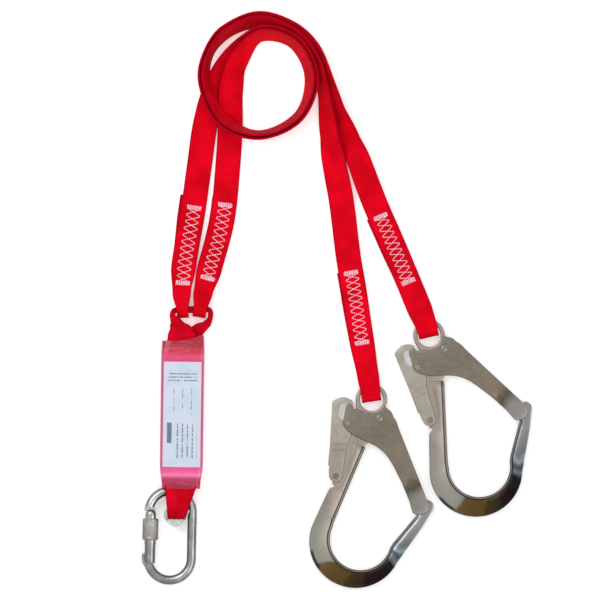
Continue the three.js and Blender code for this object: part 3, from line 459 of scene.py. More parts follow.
def steel_finish(name, light, dark, rough=(0.2, 0.36), grain=(0.35, 0.012, 0.35), tarnish=0.5, turn=0.0,
                 edge=(0.35, 0.95, 0.75), tones=None, worked=1.0):
    """Satin or bright plated steel: fine brushing, cloudy tone, smudges and small scratches.

    tones lists (share, colour) stops along the mark named length, from 0 to 1, for what the steel mirrors.
    worked is how strongly the brushing and the scratches show.
    """
    f = Finish(name)
    cloud = f.noise(f.place(), 0.03, 2.0)
    texture = f.add("ShaderNodeTexCoord")
    inputs = {"Vector": texture.outputs["Object"], "Rotation": (0, 0, -math.radians(turn))}
    turned = f.add("ShaderNodeMapping", inputs)
    stretch = tuple(v / MM for v in grain)
    brushed_place = f.add("ShaderNodeMapping", {"Vector": turned.outputs[0], "Scale": stretch}).outputs[0]
    brushed = f.noise(brushed_place, 9.0, 4.0, 0.6)
    smudge = f.noise(f.place(), 0.11, 4.0, 0.6)
    scratch = f.noise(f.place((0.3, 2.2, 1)), 1.1, 1.0)
    colour = f.blend(f.step(cloud, 0.36, 0.64), dark, light)
    if tones:
        wander = f.math("MULTIPLY_ADD", cloud, 0.16, -0.08)
        colour = f.blend(0.9, colour, f.ramp(f.math("ADD", f.mark("length").outputs["Fac"], wander), tones))
    colour = f.blend(f.step(brushed, 0.35, 0.65, 0.0, 0.16 * worked), colour, srgb(235, 232, 225))
    colour = f.blend(f.step(smudge, 0.55, 0.8, 0.0, tarnish * 0.5), colour, srgb(122, 110, 94))
    colour = f.blend(f.step(scratch, 0.7, 0.74, 0.0, 0.35 * worked), colour, srgb(240, 240, 238))
    # Painted dark reflection: the steel darkens towards its rims, where it turns away from the view; edge sets where
    # this starts, where it is full and how strong it is.
    facing = f.add("ShaderNodeLayerWeight", {"Blend": 0.5}).outputs["Facing"]
    colour = f.blend(f.step(facing, edge[0], edge[1], 0.0, edge[2]), colour, srgb(26, 25, 24))
    roughness = f.math("ADD", f.step(smudge, 0.3, 0.7, *rough), f.math("MULTIPLY", brushed, 0.06))
    normal = f.bump(f.math("ADD", brushed, f.math("MULTIPLY", smudge, 0.4)), 0.012, 0.6 * worked)
    return f.done(f.principled(Base_Color=colour, Metallic=1.0, Roughness=roughness, Normal=normal))


def spine_finish(name, turn):
    """The forged J: satin on the spine, then bright plating that mirrors a dark room round the bowl.

    The mark named sweep is the angle round the bowl, from the spine at 0 to the nose at about 220 degrees.
    """
    f = Finish(name)
    sweep = f.mark("sweep").outputs["Fac"]
    place = f.place()
    wobble = f.noise(place, 0.05, 2.0)
    lateral = f.mark("lateral").outputs["Fac"]
    ripple = f.math("MULTIPLY", f.math("SUBTRACT", wobble, 0.5), 22.0)
    reading = f.math("ADD", f.math("ADD", sweep, ripple), f.math("MULTIPLY", lateral, 5.0))
    factor = f.math("DIVIDE", f.math("ADD", reading, 90.0), 330.0)
    at = lambda degrees: (degrees + 90) / 330
    # These stops paint the reflections the plating shows round the bowl, from the satin spine to the nose.
    stops = [
        (at(-90), srgb(156, 146, 136)), (at(-34), srgb(150, 140, 130)), (at(-28), srgb(138, 130, 122)),
        (at(10), srgb(140, 138, 128)), (at(58), srgb(140, 138, 128)), (at(62), srgb(100, 80, 44)),
        (at(101), srgb(92, 70, 36)), (at(106), srgb(62, 52, 28)), (at(127), srgb(50, 42, 26)),
        (at(131), srgb(38, 22, 20)), (at(150), srgb(22, 16, 16)), (at(172), srgb(28, 26, 28)),
        (at(180), srgb(112, 126, 134)), (at(187), srgb(68, 78, 86)), (at(194), srgb(152, 162, 166)),
        (at(205), srgb(112, 120, 124)), (at(222), srgb(150, 152, 152)),
    ]
    colour = f.ramp(factor, stops)
    brushed = f.noise(f.place((0.5, 0.05, 0.5)), 6.0, 3.0)
    smudge = f.noise(place, 0.12, 4.0)
    polish = f.step(sweep, 50.0, 75.0)
    satin = f.math("MULTIPLY_ADD", polish, -0.85, 1.0)
    colour = f.blend(f.math("MULTIPLY", satin, f.step(brushed, 0.35, 0.65, 0.0, 0.1)), colour, srgb(230, 226, 218))
    colour = f.blend(f.math("MULTIPLY", satin, f.step(smudge, 0.55, 0.8, 0.0, 0.18)), colour, srgb(120, 108, 92))
    # Painted dark reflection: a thin dark sliver along the outer side of the bowl.
    sliver = f.math("MULTIPLY", f.step(lateral, 0.45, 0.75), f.step(sweep, 30.0, 38.0))
    sliver = f.math("MULTIPLY", sliver, f.step(sweep, 56.0, 62.0, 1.0, 0.0))
    colour = f.blend(f.math("MULTIPLY", sliver, 0.9), colour, srgb(22, 20, 20))
    # Painted shade and highlight on the inner rim's step: a dark band with a lit line within it.
    rim = f.mark("rim").outputs["Fac"]
    lit = f.math("MULTIPLY", f.step(rim, 0.8, 1.1), f.step(rim, 2.0, 2.4, 1.0, 0.0))
    colour = f.blend(f.step(rim, 3.2, 3.9, 0.92, 0.0), colour, srgb(34, 27, 24))
    colour = f.blend(f.math("MULTIPLY", lit, 0.8), colour, srgb(150, 143, 134))
    # Painted dark reflection towards the rims, where the J turns away from the view.
    facing = f.add("ShaderNodeLayerWeight", {"Blend": 0.5}).outputs["Facing"]
    colour = f.blend(f.step(facing, 0.4, 0.95, 0.0, 0.7), colour, srgb(24, 22, 22))
    roughness = f.math("ADD", f.math("MULTIPLY", f.math("SUBTRACT", 1.0, polish), 0.2), 0.1)
    roughness = f.math("ADD", roughness, f.math("MULTIPLY", smudge, 0.08))
    normal = f.bump(f.math("ADD", brushed, smudge), 0.012, 0.5)
    return f.done(f.principled(Base_Color=colour, Metallic=1.0, Roughness=roughness, Normal=normal))


def film_finish():
    """Clear shrink film over the folded pack: pink where it lies on the webbing, hazy at its edges."""
    f = Finish("clear_film")
    place = f.place()
    haze = f.noise(f.place((1, 0.25, 1)), 0.12, 3.0)
    streak = f.noise(f.place((0.12, 1.6, 1)), 0.6, 2.0)
    facing = f.add("ShaderNodeLayerWeight", {"Blend": 0.35}).outputs["Facing"]
    x, y, _ = f.split(f.mark("local").outputs["Vector"])[:3]
    lane = f.math("ADD", f.math("DIVIDE", y, 160.0), f.math("MULTIPLY_ADD", haze, 0.02, 0.49))
    # The film's tone along the pack, with painted highlight bands near both ends and darker beyond them towards the
    # ends.
    tone = f.ramp(lane, [
        (0.0, srgb(176, 22, 62)), (0.05, srgb(212, 58, 118)), (0.078, srgb(255, 132, 186)), (0.1, srgb(244, 84, 156)),
        (0.16, srgb(232, 70, 142)), (0.5, srgb(200, 80, 128)), (0.84, srgb(214, 62, 116)), (0.875, srgb(240, 62, 118)),
        (0.905, srgb(206, 30, 66)), (0.97, srgb(186, 22, 52)),
    ])
    # Painted highlight: light streaks where the film's creases catch the light.
    tone = f.blend(f.step(streak, 0.5, 0.72, 0.0, 0.25), tone, srgb(250, 130, 172))
    margin = f.step(f.math("ABSOLUTE", x), 20.3, 22.8, 0.0, 0.75)
    tone = f.blend(margin, tone, srgb(188, 112, 146))
    # Painted shade: greyer where the film turns away from the view.
    tone = f.blend(f.step(facing, 0.55, 0.98, 0.0, 0.9), tone, srgb(150, 128, 136))
    normal = f.bump(f.math("ADD", haze, f.math("MULTIPLY", streak, 0.5)), 0.5, 0.5)
    body = f.principled(
        Base_Color=tone, Roughness=0.16, Coat_Weight=0.6, Coat_Roughness=0.08, Normal=normal,
    )
    clear = f.add("ShaderNodeBsdfTransparent", {"Color": srgb(255, 190, 208)})
    solid_share = f.step(f.mark("pack").outputs["Fac"], 0.0, 1.0, 0.62, 0.86)
    solid_share = f.math("MAXIMUM", solid_share, f.step(facing, 0.3, 0.9, 0.0, 0.8))
    shader = f.add("ShaderNodeMixShader", {0: solid_share, 1: clear.outputs[0], 2: body.outputs[0]})
    return f.done(shader)


def guard_finish():
    f = Finish("guard_plastic")
    cloud = f.noise(f.place(), 0.2, 3.0)
    grain = f.noise(f.place(), 1.4, 3.0)
    colour = f.blend(f.step(cloud, 0.35, 0.65), srgb(196, 206, 202), srgb(224, 230, 227))
    colour = f.blend(f.step(grain, 0.6, 0.75, 0.0, 0.3), colour, srgb(176, 180, 172))
    # Painted shade: greyer towards the edges, where the plastic turns away from the view.
    facing = f.add("ShaderNodeLayerWeight", {"Blend": 0.5}).outputs["Facing"]
    colour = f.blend(f.step(facing, 0.15, 0.8, 0.0, 0.8), colour, srgb(128, 140, 136))
    shader = f.principled(
        Base_Color=colour, Roughness=f.step(grain, 0.3, 0.7, 0.28, 0.42), Subsurface_Weight=0.35,
        Subsurface_Scale=0.003, Transmission_Weight=0.12, Normal=f.bump(grain, 0.06, 0.5),
    )
    return f.done(shader)


def label_finish():
    """A printed paper label under film, with rows of plain dashes and bars in place of its print."""
    f = Finish("label_film")
    x, y, _ = f.split(f.mark("print").outputs["Vector"])[:3]

    def band(value, low, high):
        return f.math("MULTIPLY", f.math("GREATER_THAN", value, low), f.math("LESS_THAN", value, high))

    def dashes(run, side, pitch, thick, cell, fill):
        line = f.math("FRACT", f.math("DIVIDE", side, pitch))
        row = f.math("LESS_THAN", line, thick / pitch)
        cell_at = f.math("FLOOR", f.math("DIVIDE", run, cell))
        row_at = f.math("FLOOR", f.math("DIVIDE", side, pitch))
        vector = f.add("ShaderNodeCombineXYZ", {0: cell_at, 1: row_at}).outputs[0]
        chance = f.add("ShaderNodeTexWhiteNoise", {"Vector": vector}, noise_dimensions="2D").outputs["Value"]
        return f.math("MULTIPLY", row, f.math("LESS_THAN", chance, fill))

    def block(mask, left, right, bottom, top):
        return f.math("MULTIPLY", mask, f.math("MULTIPLY", band(x, left, right), band(y, bottom, top)))

    ink = block(dashes(x, y, 3.6, 1.3, 0.9, 0.8), -15, 16, 35.8, 47)
    ink = f.math("MAXIMUM", ink, block(dashes(y, x, 9.5, 0.9, 1.1, 0.55), -13, 15, 0, 28))
    ink = f.math("MAXIMUM", ink, block(dashes(y, x, 5.4, 1.4, 1.0, 0.75), -6, 16.5, -47, -10))
    bar = block(1.0, -16, -11, -31, -9)
    tone = f.noise(f.place((1, 1, 1)), 0.06, 2.0)
    paper = f.blend(f.step(tone, 0.35, 0.65), srgb(190, 208, 226), srgb(204, 212, 228))
    rim = f.math("MAXIMUM", f.step(f.math("ABSOLUTE", x), 17.5, 20.5), f.step(f.math("ABSOLUTE", y), 54, 57.5))
    paper = f.blend(f.math("MULTIPLY", rim, 0.75), paper, srgb(236, 190, 208))
    colour = f.blend(f.math("MULTIPLY", ink, 0.75), paper, srgb(74, 82, 100))
    colour = f.blend(f.math("MULTIPLY", bar, 0.85), colour, srgb(62, 74, 112))
    wrinkle = f.noise(f.place((1, 0.3, 1)), 0.1, 2.0)
    shader = f.principled(
        Base_Color=colour, Roughness=0.3, Coat_Weight=0.4, Coat_Roughness=0.12,
        Normal=f.bump(wrinkle, 0.6, 0.35),
    )
    return f.done(shader)


def floor_finish():
    f = Finish("pale_floor")
    tone = f.noise(f.place(), 0.004, 2.0)
    colour = f.blend(f.step(tone, 0.3, 0.7), srgb(246, 246, 246), srgb(250, 250, 250))
    glow = {"Emission_Color": (1, 1, 1, 1), "Emission_Strength": 0.35}
    return f.done(f.principled(Base_Color=colour, Roughness=0.9, Specular_IOR_Level=0.1, **glow))


RED = {"bright": srgb(238, 0, 30), "deep": srgb(206, 0, 20), "edge": srgb(160, 0, 34)}
webbing = webbing_finish("red_webbing", **RED)
loop_webbing = webbing_finish("red_webbing_loops", srgb(232, 2, 38), srgb(192, 0, 22), srgb(146, 0, 34))
thread = thread_finish()
# edge: the painted dark reflection on the rims of the karabiner and its sleeve.
zinc = steel_finish("zinc_steel", srgb(184, 190, 190), srgb(126, 131, 130), (0.12, 0.24), tarnish=0.2,
                    edge=(0.12, 0.62, 0.86))
sleeve_steel = steel_finish("sleeve_steel", srgb(172, 168, 162), srgb(140, 136, 128), (0.28, 0.42),
                            edge=(0.2, 0.8, 0.8))
dark_steel = steel_finish("pin_steel", srgb(150, 138, 128), srgb(112, 100, 94), (0.3, 0.45))
spring_steel = steel_finish("spring_steel", srgb(168, 170, 172), srgb(120, 122, 124), (0.2, 0.34))
film = film_finish()
guard_plastic = guard_finish()
label_film = label_finish()


# ---------------------------------------------------------------- webbing shapes
LAYER_OFFSET = 1.25  # half the distance between two sewn layers
WEB_WIDTH = 27.0
WEB_THICKNESS = 2.2


def web_section():
    """(across, thickness) points round a strap from -1 to 1: a flat middle and rolled selvedges."""
    across = [0.0, 0.3, 0.6, 0.8, 0.9, 0.95, 0.985]
    height = [0.92, 0.92, 0.93, 0.96, 1.0, 0.98, 0.82]
    half = list(zip(across, height)) + [(1.0, 0.42)]
    top = [(-a, h) for a, h in half[:0:-1]] + half
    return np.array(top + [(a, -h) for a, h in top[::-1]])


SECTION = web_section()


def gathered_section(sides, boxiness):
    angles = (np.arange(sides) + 0.5) * 2 * math.pi / sides
    c, s = np.cos(angles), np.sin(angles)
    power = lambda v: np.sign(v) * np.abs(v) ** boxiness
    return np.column_stack([power(c), power(s)])


def ring(centre, across, normal, width, thickness, section=SECTION):
    return centre + np.outer(section[:, 0] * width / 2, across) + np.outer(section[:, 1] * thickness / 2, normal)


def strap_line(controls, spacing):
    """The centre line through (x, y, z, lean, width) controls, sampled evenly along its length.

    It is a centripetal Catmull-Rom curve. Lean turns the strap about its own line: 0 lies flat, 90 is on edge.
    """
    controls = np.asarray(controls, float)
    knots = controls[:, :3]
    padded = np.vstack([2 * knots[0] - knots[1], knots, 2 * knots[-1] - knots[-2]])
    steps = 80
    dense = []
    for p0, p1, p2, p3 in zip(padded, padded[1:], padded[2:], padded[3:]):
        gaps = [math.sqrt(np.linalg.norm(b - a)) for a, b in ((p0, p1), (p1, p2), (p2, p3))]
        m1 = ((p1 - p0) / gaps[0] - (p2 - p0) / (gaps[0] + gaps[1]) + (p2 - p1) / gaps[1]) * gaps[1]
        m2 = ((p2 - p1) / gaps[1] - (p3 - p1) / (gaps[1] + gaps[2]) + (p3 - p2) / gaps[2]) * gaps[1]
        t = (np.arange(steps) / steps)[:, None]
        dense.append(p1 + m1 * t + (3 * (p2 - p1) - 2 * m1 - m2) * t**2 + (2 * (p1 - p2) + m1 + m2) * t**3)
    dense = np.vstack([*dense, knots[-1:]])
    lengths = np.concatenate([[0], np.cumsum(np.linalg.norm(np.diff(dense, axis=0), axis=1))])
    total = lengths[-1]
    marks = lengths[::steps]
    s = np.linspace(0, total, round(total / spacing) + 1)
    centre = np.column_stack([np.interp(s, lengths, dense[:, i]) for i in range(3)])
    span = np.clip(np.searchsorted(marks, s, side="right") - 1, 0, len(marks) - 2)
    share = smooth((s - marks[span]) / (marks[span + 1] - marks[span]))
    lean = np.radians(mix(controls[span, 3], controls[span + 1, 3], share))[:, None]
    width = mix(controls[span, 4], controls[span + 1, 4], share)
    along = unit(np.gradient(centre, axis=0))
    left = unit(np.column_stack([-along[:, 1], along[:, 0], np.zeros(len(s))]))
    across = left * np.cos(lean) + np.array([0, 0, 1.0]) * np.sin(lean)
    across = unit(across - along * np.sum(across * along, axis=1, keepdims=True))
    normal = np.cross(along, across)
    return {"s": s, "centre": centre, "along": along, "across": across, "normal": normal, "width": width,
            "total": total}


def eyed_strap(line, start_eye, end_eye, start_stray, end_stray):
    """One strap with a sewn eye at each end: a single band from fold end to fold end, and its weave marks."""
    s, total = line["s"], line["total"]
    count = len(s)
    offset_start = mix(start_eye["radius"], LAYER_OFFSET, smooth((s - start_eye["straight"]) / start_eye["closing"]))
    offset_end = mix(end_eye["radius"], LAYER_OFFSET, smooth((total - s - end_eye["straight"]) / end_eye["closing"]))
    offset = np.maximum(offset_start, offset_end)
    rings, travel = [], []
    run = 0.0

    def push(points, step):
        nonlocal run
        run += step
        rings.append(points)
        travel.append(run)

    def layer(i, side, stray=0.0):
        normal = line["normal"][i] * side
        centre = line["centre"][i] + normal * offset[i] + line["across"][i] * stray
        return ring(centre, line["across"][i], normal, line["width"][i], WEB_THICKNESS)

    def turn(i, eye, outward, first):
        steps = 14
        for k in range(1, steps):
            angle = math.pi * k / steps
            normal = line["normal"][i] * first * math.cos(angle) + line["along"][i] * outward * math.sin(angle)
            centre = line["centre"][i] + normal * eye["radius"]
            push(ring(centre, line["across"][i], normal, line["width"][i], WEB_THICKNESS),
                 math.pi * eye["radius"] / steps)

    spacing = s[1]
    for i in range(int(start_eye["fold"] / spacing), -1, -1):
        push(layer(i, -1, start_stray * smooth((s[i] - 60) / 50)), spacing)
    turn(0, start_eye, -1, -1)
    for i in range(count):
        push(layer(i, 1), spacing)
    turn(count - 1, end_eye, 1, 1)
    for i in range(count - 1, count - 1 - int(end_eye["fold"] / spacing), -1):
        push(layer(i, -1, end_stray * smooth((total - s[i] - 60) / 50)), spacing)
    return skin(rings), strap_marks(travel, SECTION, WEB_WIDTH)


def strap_marks(travel, section, width):
    sides = len(section)
    along = np.repeat(travel, sides)
    across = np.tile(section[:, 0], len(travel))
    weave = np.column_stack([along, across * width / 2, np.zeros(len(along))])
    return {"weave": weave, "edge": across}


# ---------------------------------------------------------------- legs
COIL = np.array([-44.3, 241.9])
YOKE_EYE = {"radius": 7.6, "straight": 4, "closing": 21, "fold": 125}
HOOK_EYE = {"radius": 4.3, "straight": 15, "closing": 18, "fold": 142}
# Where each leg's lower stitching starts and ends, and how far its folded ends lie to one side.
LEGS = {
    "leg_1": {"sewn": (35.5, 115.5), "stray": (0.5, -1.6)},
    "leg_2": {"sewn": (30.0, 111.0), "stray": (2.6, -1.6)},
}
EYE_DEPTH = 2.8
YOKE_Z = 9.2


def on_coil(bearing, radius, z, lean):
    angle = math.radians(bearing)
    return (COIL[0] + radius * math.cos(angle), COIL[1] + radius * math.sin(angle), z, lean, WEB_WIDTH)


def flat(x, y, z, lean=0, width=WEB_WIDTH):
    return (x, y, z, lean, width)


def coil_controls(spread):
    turns = [
        (90, 46.5, 13.6, 62), (45, 54, 13.6, 68), (0, 58, 13.8, 68), (-45, 62.5, 14, 76), (-90, 65, 15.4, 80),
        (-130, 62.5, 21.5, 68), (-175, 60.5, 25, 72), (-205, 61, 21.5, 76), (-232, 61, 17, 68), (-270, 62, 15.5, 60),
    ]
    return [on_coil(bearing, radius + spread, z, lean) for bearing, radius, z, lean in turns]


def leg_controls():
    def end(name, dx, width=22):
        eye = HOOKS[name]["eye"]
        return flat(eye[0] + dx, eye[1] + EYE_DEPTH, HOOK_PLANE, 0, width)

    inner = [
        flat(-107.8, -10.2, YOKE_Z, 0, 14.5), flat(-104.6, 8, YOKE_Z - 1.5, 0, 21), flat(-98, 33, 5),
        flat(-84.2, 86, 3), flat(-78.3, 140, 1.2), flat(-75.4, 190, 2.4, 4), flat(-75, 226, 5, 12),
        flat(-69.5, 255, 10.5, 36), *coil_controls(-2),
        on_coil(50, 60.5, 14.5, 66), on_coil(18, 64, 13.8, 68), flat(25.3, 231, 13.6, 66),
        flat(32.6, 178, 10.5, 44), flat(37, 150, 6.5, 18), flat(44.5, 108, 4), flat(52.5, 45, 3.8),
        flat(58.5, 10, 4), flat(66, -40, 4.6), flat(73.5, -82, HOOK_PLANE - 0.6, 0, 23.6),
        end("hook_1", -0.3, 20.8),
    ]
    outer = [
        flat(-126.9, -10.9, YOKE_Z, 0, 13), flat(-127.8, 8, YOKE_Z - 1.5, 0, 20), flat(-125.6, 36, 5),
        flat(-115, 100, 3), flat(-108, 150, 1), flat(-103, 186, 1.2, 3), flat(-95, 218, 2.6, 6),
        flat(-83, 247, 6, 20), *coil_controls(2),
        on_coil(55, 65, 15, 64), on_coil(28, 68.5, 14, 66), flat(30.5, 240, 13.8, 64), flat(40, 210, 13, 56),
        flat(54, 176, 12, 40), flat(64, 150, 10.5, 16), flat(79.4, 108, 7), flat(98.5, 64, 5.5),
        flat(117, 20, 5.5), flat(128.5, -8, HOOK_PLANE - 0.8), flat(136.6, -28.4, HOOK_PLANE, 0, 23.5),
        end("hook_2", -1),
    ]
    return {"leg_1": inner, "leg_2": outer}


# ---------------------------------------------------------------- stitching
STITCH = {"length": 2.5, "gap": 0.25, "radius": 0.52, "diamonds": 11, "half_width": 6.9, "bar_rows": 5,
          "bar_pitch": 0.95}


def stitch_shape(start, end, normal):
    """One stitch: a short arched strand whose two ends dive into the webbing."""
    along = end - start
    side = unit(np.cross(normal, along))
    angles = np.arange(7) * 2 * math.pi / 7
    rings = []
    for t, lift, radius in ((0, -0.5, 0.3), (0.14, 0.0, 0.85), (0.5, 0.28, 1.0), (0.86, 0.0, 0.85), (1, -0.5, 0.3)):
        centre = start + along * t + normal * lift * STITCH["radius"]
        r = radius * STITCH["radius"]
        rings.append(centre + r * (np.outer(np.cos(angles), side) + np.outer(np.sin(angles), normal)))
    return skin(rings)


def stitch_run(path, place):
    """Stitches along a polyline given in strap coordinates (distance along, distance across)."""
    shapes = []
    for (s0, v0), (s1, v1) in zip(path, path[1:]):
        length = math.hypot(s1 - s0, v1 - v0)
        count = max(1, round(length / STITCH["length"]))
        for k in range(count):
            t0 = k / count
            t1 = (k + 1) / count - STITCH["gap"] / max(length, 1) / 2
            a, normal = place(mix(s0, s1, t0), mix(v0, v1, t0))
            b, _ = place(mix(s0, s1, t1), mix(v0, v1, t1))
            shapes.append(stitch_shape(a, b, normal))
    return shapes


def stitch_pattern(line, start, end, side, shift=0.0):
    """Two crossing zigzags with a dense bar at each end, on the front (1) or the back (-1) of a strap."""
    surface = LAYER_OFFSET + WEB_THICKNESS / 2 * 0.93 + 0.12

    def place(s, v):
        at = s / line["total"] * (len(line["s"]) - 1)
        i = min(int(at), len(line["s"]) - 2)
        f = at - i
        centre = mix(line["centre"][i], line["centre"][i + 1], f)
        normal = unit(mix(line["normal"][i], line["normal"][i + 1], f)) * side
        return centre + line["across"][i] * (v + shift) + normal * surface, normal

    shapes = []
    pitch = (end - start) / STITCH["diamonds"]
    for sign in (1, -1):
        path = []
        for k in range(STITCH["diamonds"] + 1):
            reach = sign * (1 if k % 2 else -1) * STITCH["half_width"]
            s = start + k * pitch
            wander_s, wander_v = rng.uniform(-0.45, 0.45, 2)
            path.append((s - 0.55 + wander_s, reach + wander_v))
            path.append((s + 0.55 + wander_s, reach + wander_v))
        shapes += stitch_run(path, place)
    for base, direction in ((start, -1), (end, 1)):
        path = []
        for k in range(STITCH["bar_rows"]):
            s = base + direction * (k - 1.2) * STITCH["bar_pitch"]
            reach = STITCH["half_width"] + 0.6 + rng.uniform(-0.5, 0.5)
            path += [(s, -reach), (s, reach)] if k % 2 else [(s, reach), (s, -reach)]
        shapes += stitch_run(path, place)
    return merged(shapes)


def build_legs():
    for name, controls in leg_controls().items():
        line = strap_line(controls, 2.0)
        shape, marks = eyed_strap(line, YOKE_EYE, HOOK_EYE, *LEGS[name]["stray"])
        new_piece(name + "_strap", shape, webbing, "legs", [name + "_webbing"], marks, sharp=60)
        total = line["total"]
        runs = {"lower": (*LEGS[name]["sewn"], -0.8), "hook": (total - 135, total - 60, 0.0)}
        for place, (start, end, shift) in runs.items():
            front = stitch_pattern(line, start, end, 1, shift)
            back = stitch_pattern(line, start, end, -1, shift)
            new_piece(f"{name}_{place}_thread", merged([front, back]), thread, "legs",
                      [f"{name}_{place}_stitching"])


# ---------------------------------------------------------------- energy absorber
PACK = {"centre": (-127.4, -121.2, 11.7), "turn": -0.8, "width": 47.0, "length": 154.0, "thickness": 23.0}
PACK_LAYERS = 5
LAYER_PITCH = 2.8
YOKE = {"centre": np.array([-117.2, -10.4, YOKE_Z]), "turn": 2.0, "half_width": 3.8, "half_height": 4.0}
LOWER_LOOP = {"radius": 9.2, "top_width": 36.0, "turn_width": 23.0, "bottom_width": 16.8, "drop": 28.5,
              "turn_shift": -3.4, "bottom_shift": -4.6}


def in_pack(points):
    return placed(points, PACK["centre"], PACK["turn"])


def build_cover():
    """The film: a thin tube that follows the pack, creased and pulled in at both ends."""
    sides, wall = 72, 0.45
    half = PACK["length"] / 2
    stations = np.concatenate([
        np.linspace(-half, -half + 16, 14), np.linspace(-half + 20, half - 20, 24), np.linspace(half - 16, half, 14),
    ])
    angles = (np.arange(sides) + 0.5) * 2 * math.pi / sides
    box = lambda v: np.sign(v) * np.abs(v) ** 0.3

    def wall_ring(y, depth):
        end = smooth((abs(y) - half + 13) / 13)
        crease = 0.35 * end * np.sin(5 * angles + y * 0.5) + 0.22 * end * np.sin(11 * angles - y * 0.3)
        sag = 0.35 * math.sin(y * 0.11) * (1 - end)
        a = PACK["width"] / 2 * (1 - 0.035 * end) - depth
        b = PACK["thickness"] / 2 * (1 - 0.1 * end) - depth
        x = box(np.cos(angles)) * (a + crease * 0.5)
        z = box(np.sin(angles)) * (b + crease * 0.4 + sag * 0.3)
        across = x / a
        slant = 6.5 * smooth(across) * smooth((y - half + 16) / 16)
        slant = slant - 5.5 * smooth((z / b - 0.2) / 0.6) * smooth((-y - half + 16) / 16)
        pulled = 0.09 * smooth((-y - half + 20) / 20)
        return np.column_stack([x * (1 - pulled), y + slant, z])

    outer = [wall_ring(y, 0.0) for y in stations]
    inner = [wall_ring(y, wall) for y in stations[::-1]]
    points, faces = skin(outer + inner, closed=True)
    pack = 1 - smooth((np.abs(points[:, 1]) - half + 10) / 5)
    new_piece("absorber_film", (in_pack(points), faces), film, "absorber", ["absorber_cover"],
              {"pack": pack, "local": points}, sharp=50)


def build_tear_webbing():
    """The folded pack of webbing, laid to and fro."""
    half_length, width, thickness = 67.0, 41.5, 2.5
    line = []
    for i in range(PACK_LAYERS):
        z = (i - (PACK_LAYERS - 1) / 2) * LAYER_PITCH * 1.45
        side = -1 if i % 2 else 1
        for t in np.linspace(-1, 1, 24):
            line.append((side * t * half_length, z + 0.15 * math.sin(t * 7 + i)))
        if i < PACK_LAYERS - 1:
            reach = LAYER_PITCH * 1.45 / 2
            for angle in (30, 60, 90, 120, 150):
                a = math.radians(angle)
                line.append((side * (half_length + reach * math.sin(a)), z + reach - reach * math.cos(a)))
    line = np.array(line)
    tangent = unit(np.gradient(line, axis=0))
    rings = []
    for (y, z), (ty, tz) in zip(line, tangent):
        rings.append(ring(np.array([0, y, z]), np.array([1.0, 0, 0]), np.array([0, -tz, ty]), width, thickness))
    travel = np.concatenate([[0], np.cumsum(np.linalg.norm(np.diff(line, axis=0), axis=1))])
    points, faces = skin(rings)
    new_piece("folded_tear_webbing", (in_pack(points), faces), loop_webbing, "absorber",
              ["absorber_tear_webbing"], strap_marks(travel, SECTION, width), sharp=60)


def build_label():
    width, length, height = 41.0, 114.0, 0.35
    base = PACK["thickness"] / 2 + 0.25
    outline = rounded([(-width / 2, -length / 2), (width / 2, -length / 2), (width / 2, length / 2),
                       (-width / 2, length / 2)], 1.2)
    ripple = lambda x, y: -0.12 * math.sin(y * 0.13) * math.cos(x * 0.11) - 0.12
    points, faces = plate(outline, base, base + height, ((0.0, 0.12), (0.08, 0.0)), relief=ripple, both=False)
    points[:, 1] -= 2.4
    marks = {"print": np.column_stack([points[:, 0], points[:, 1] + 2.4, points[:, 2]])}
    new_piece("absorber_label_sheet", (in_pack(points), faces), label_film, "absorber",
              ["absorber_label"], marks)


def pleated(section_points, width, full_width, phase):
    """Extra thickness along the section where wide webbing is gathered into less width."""
    gather = max(0.0, 1 - width / full_width)
    u = section_points[:, 0]
    return 1 + gather * 0.28 * np.cos(u * 3.2 * math.pi + phase)


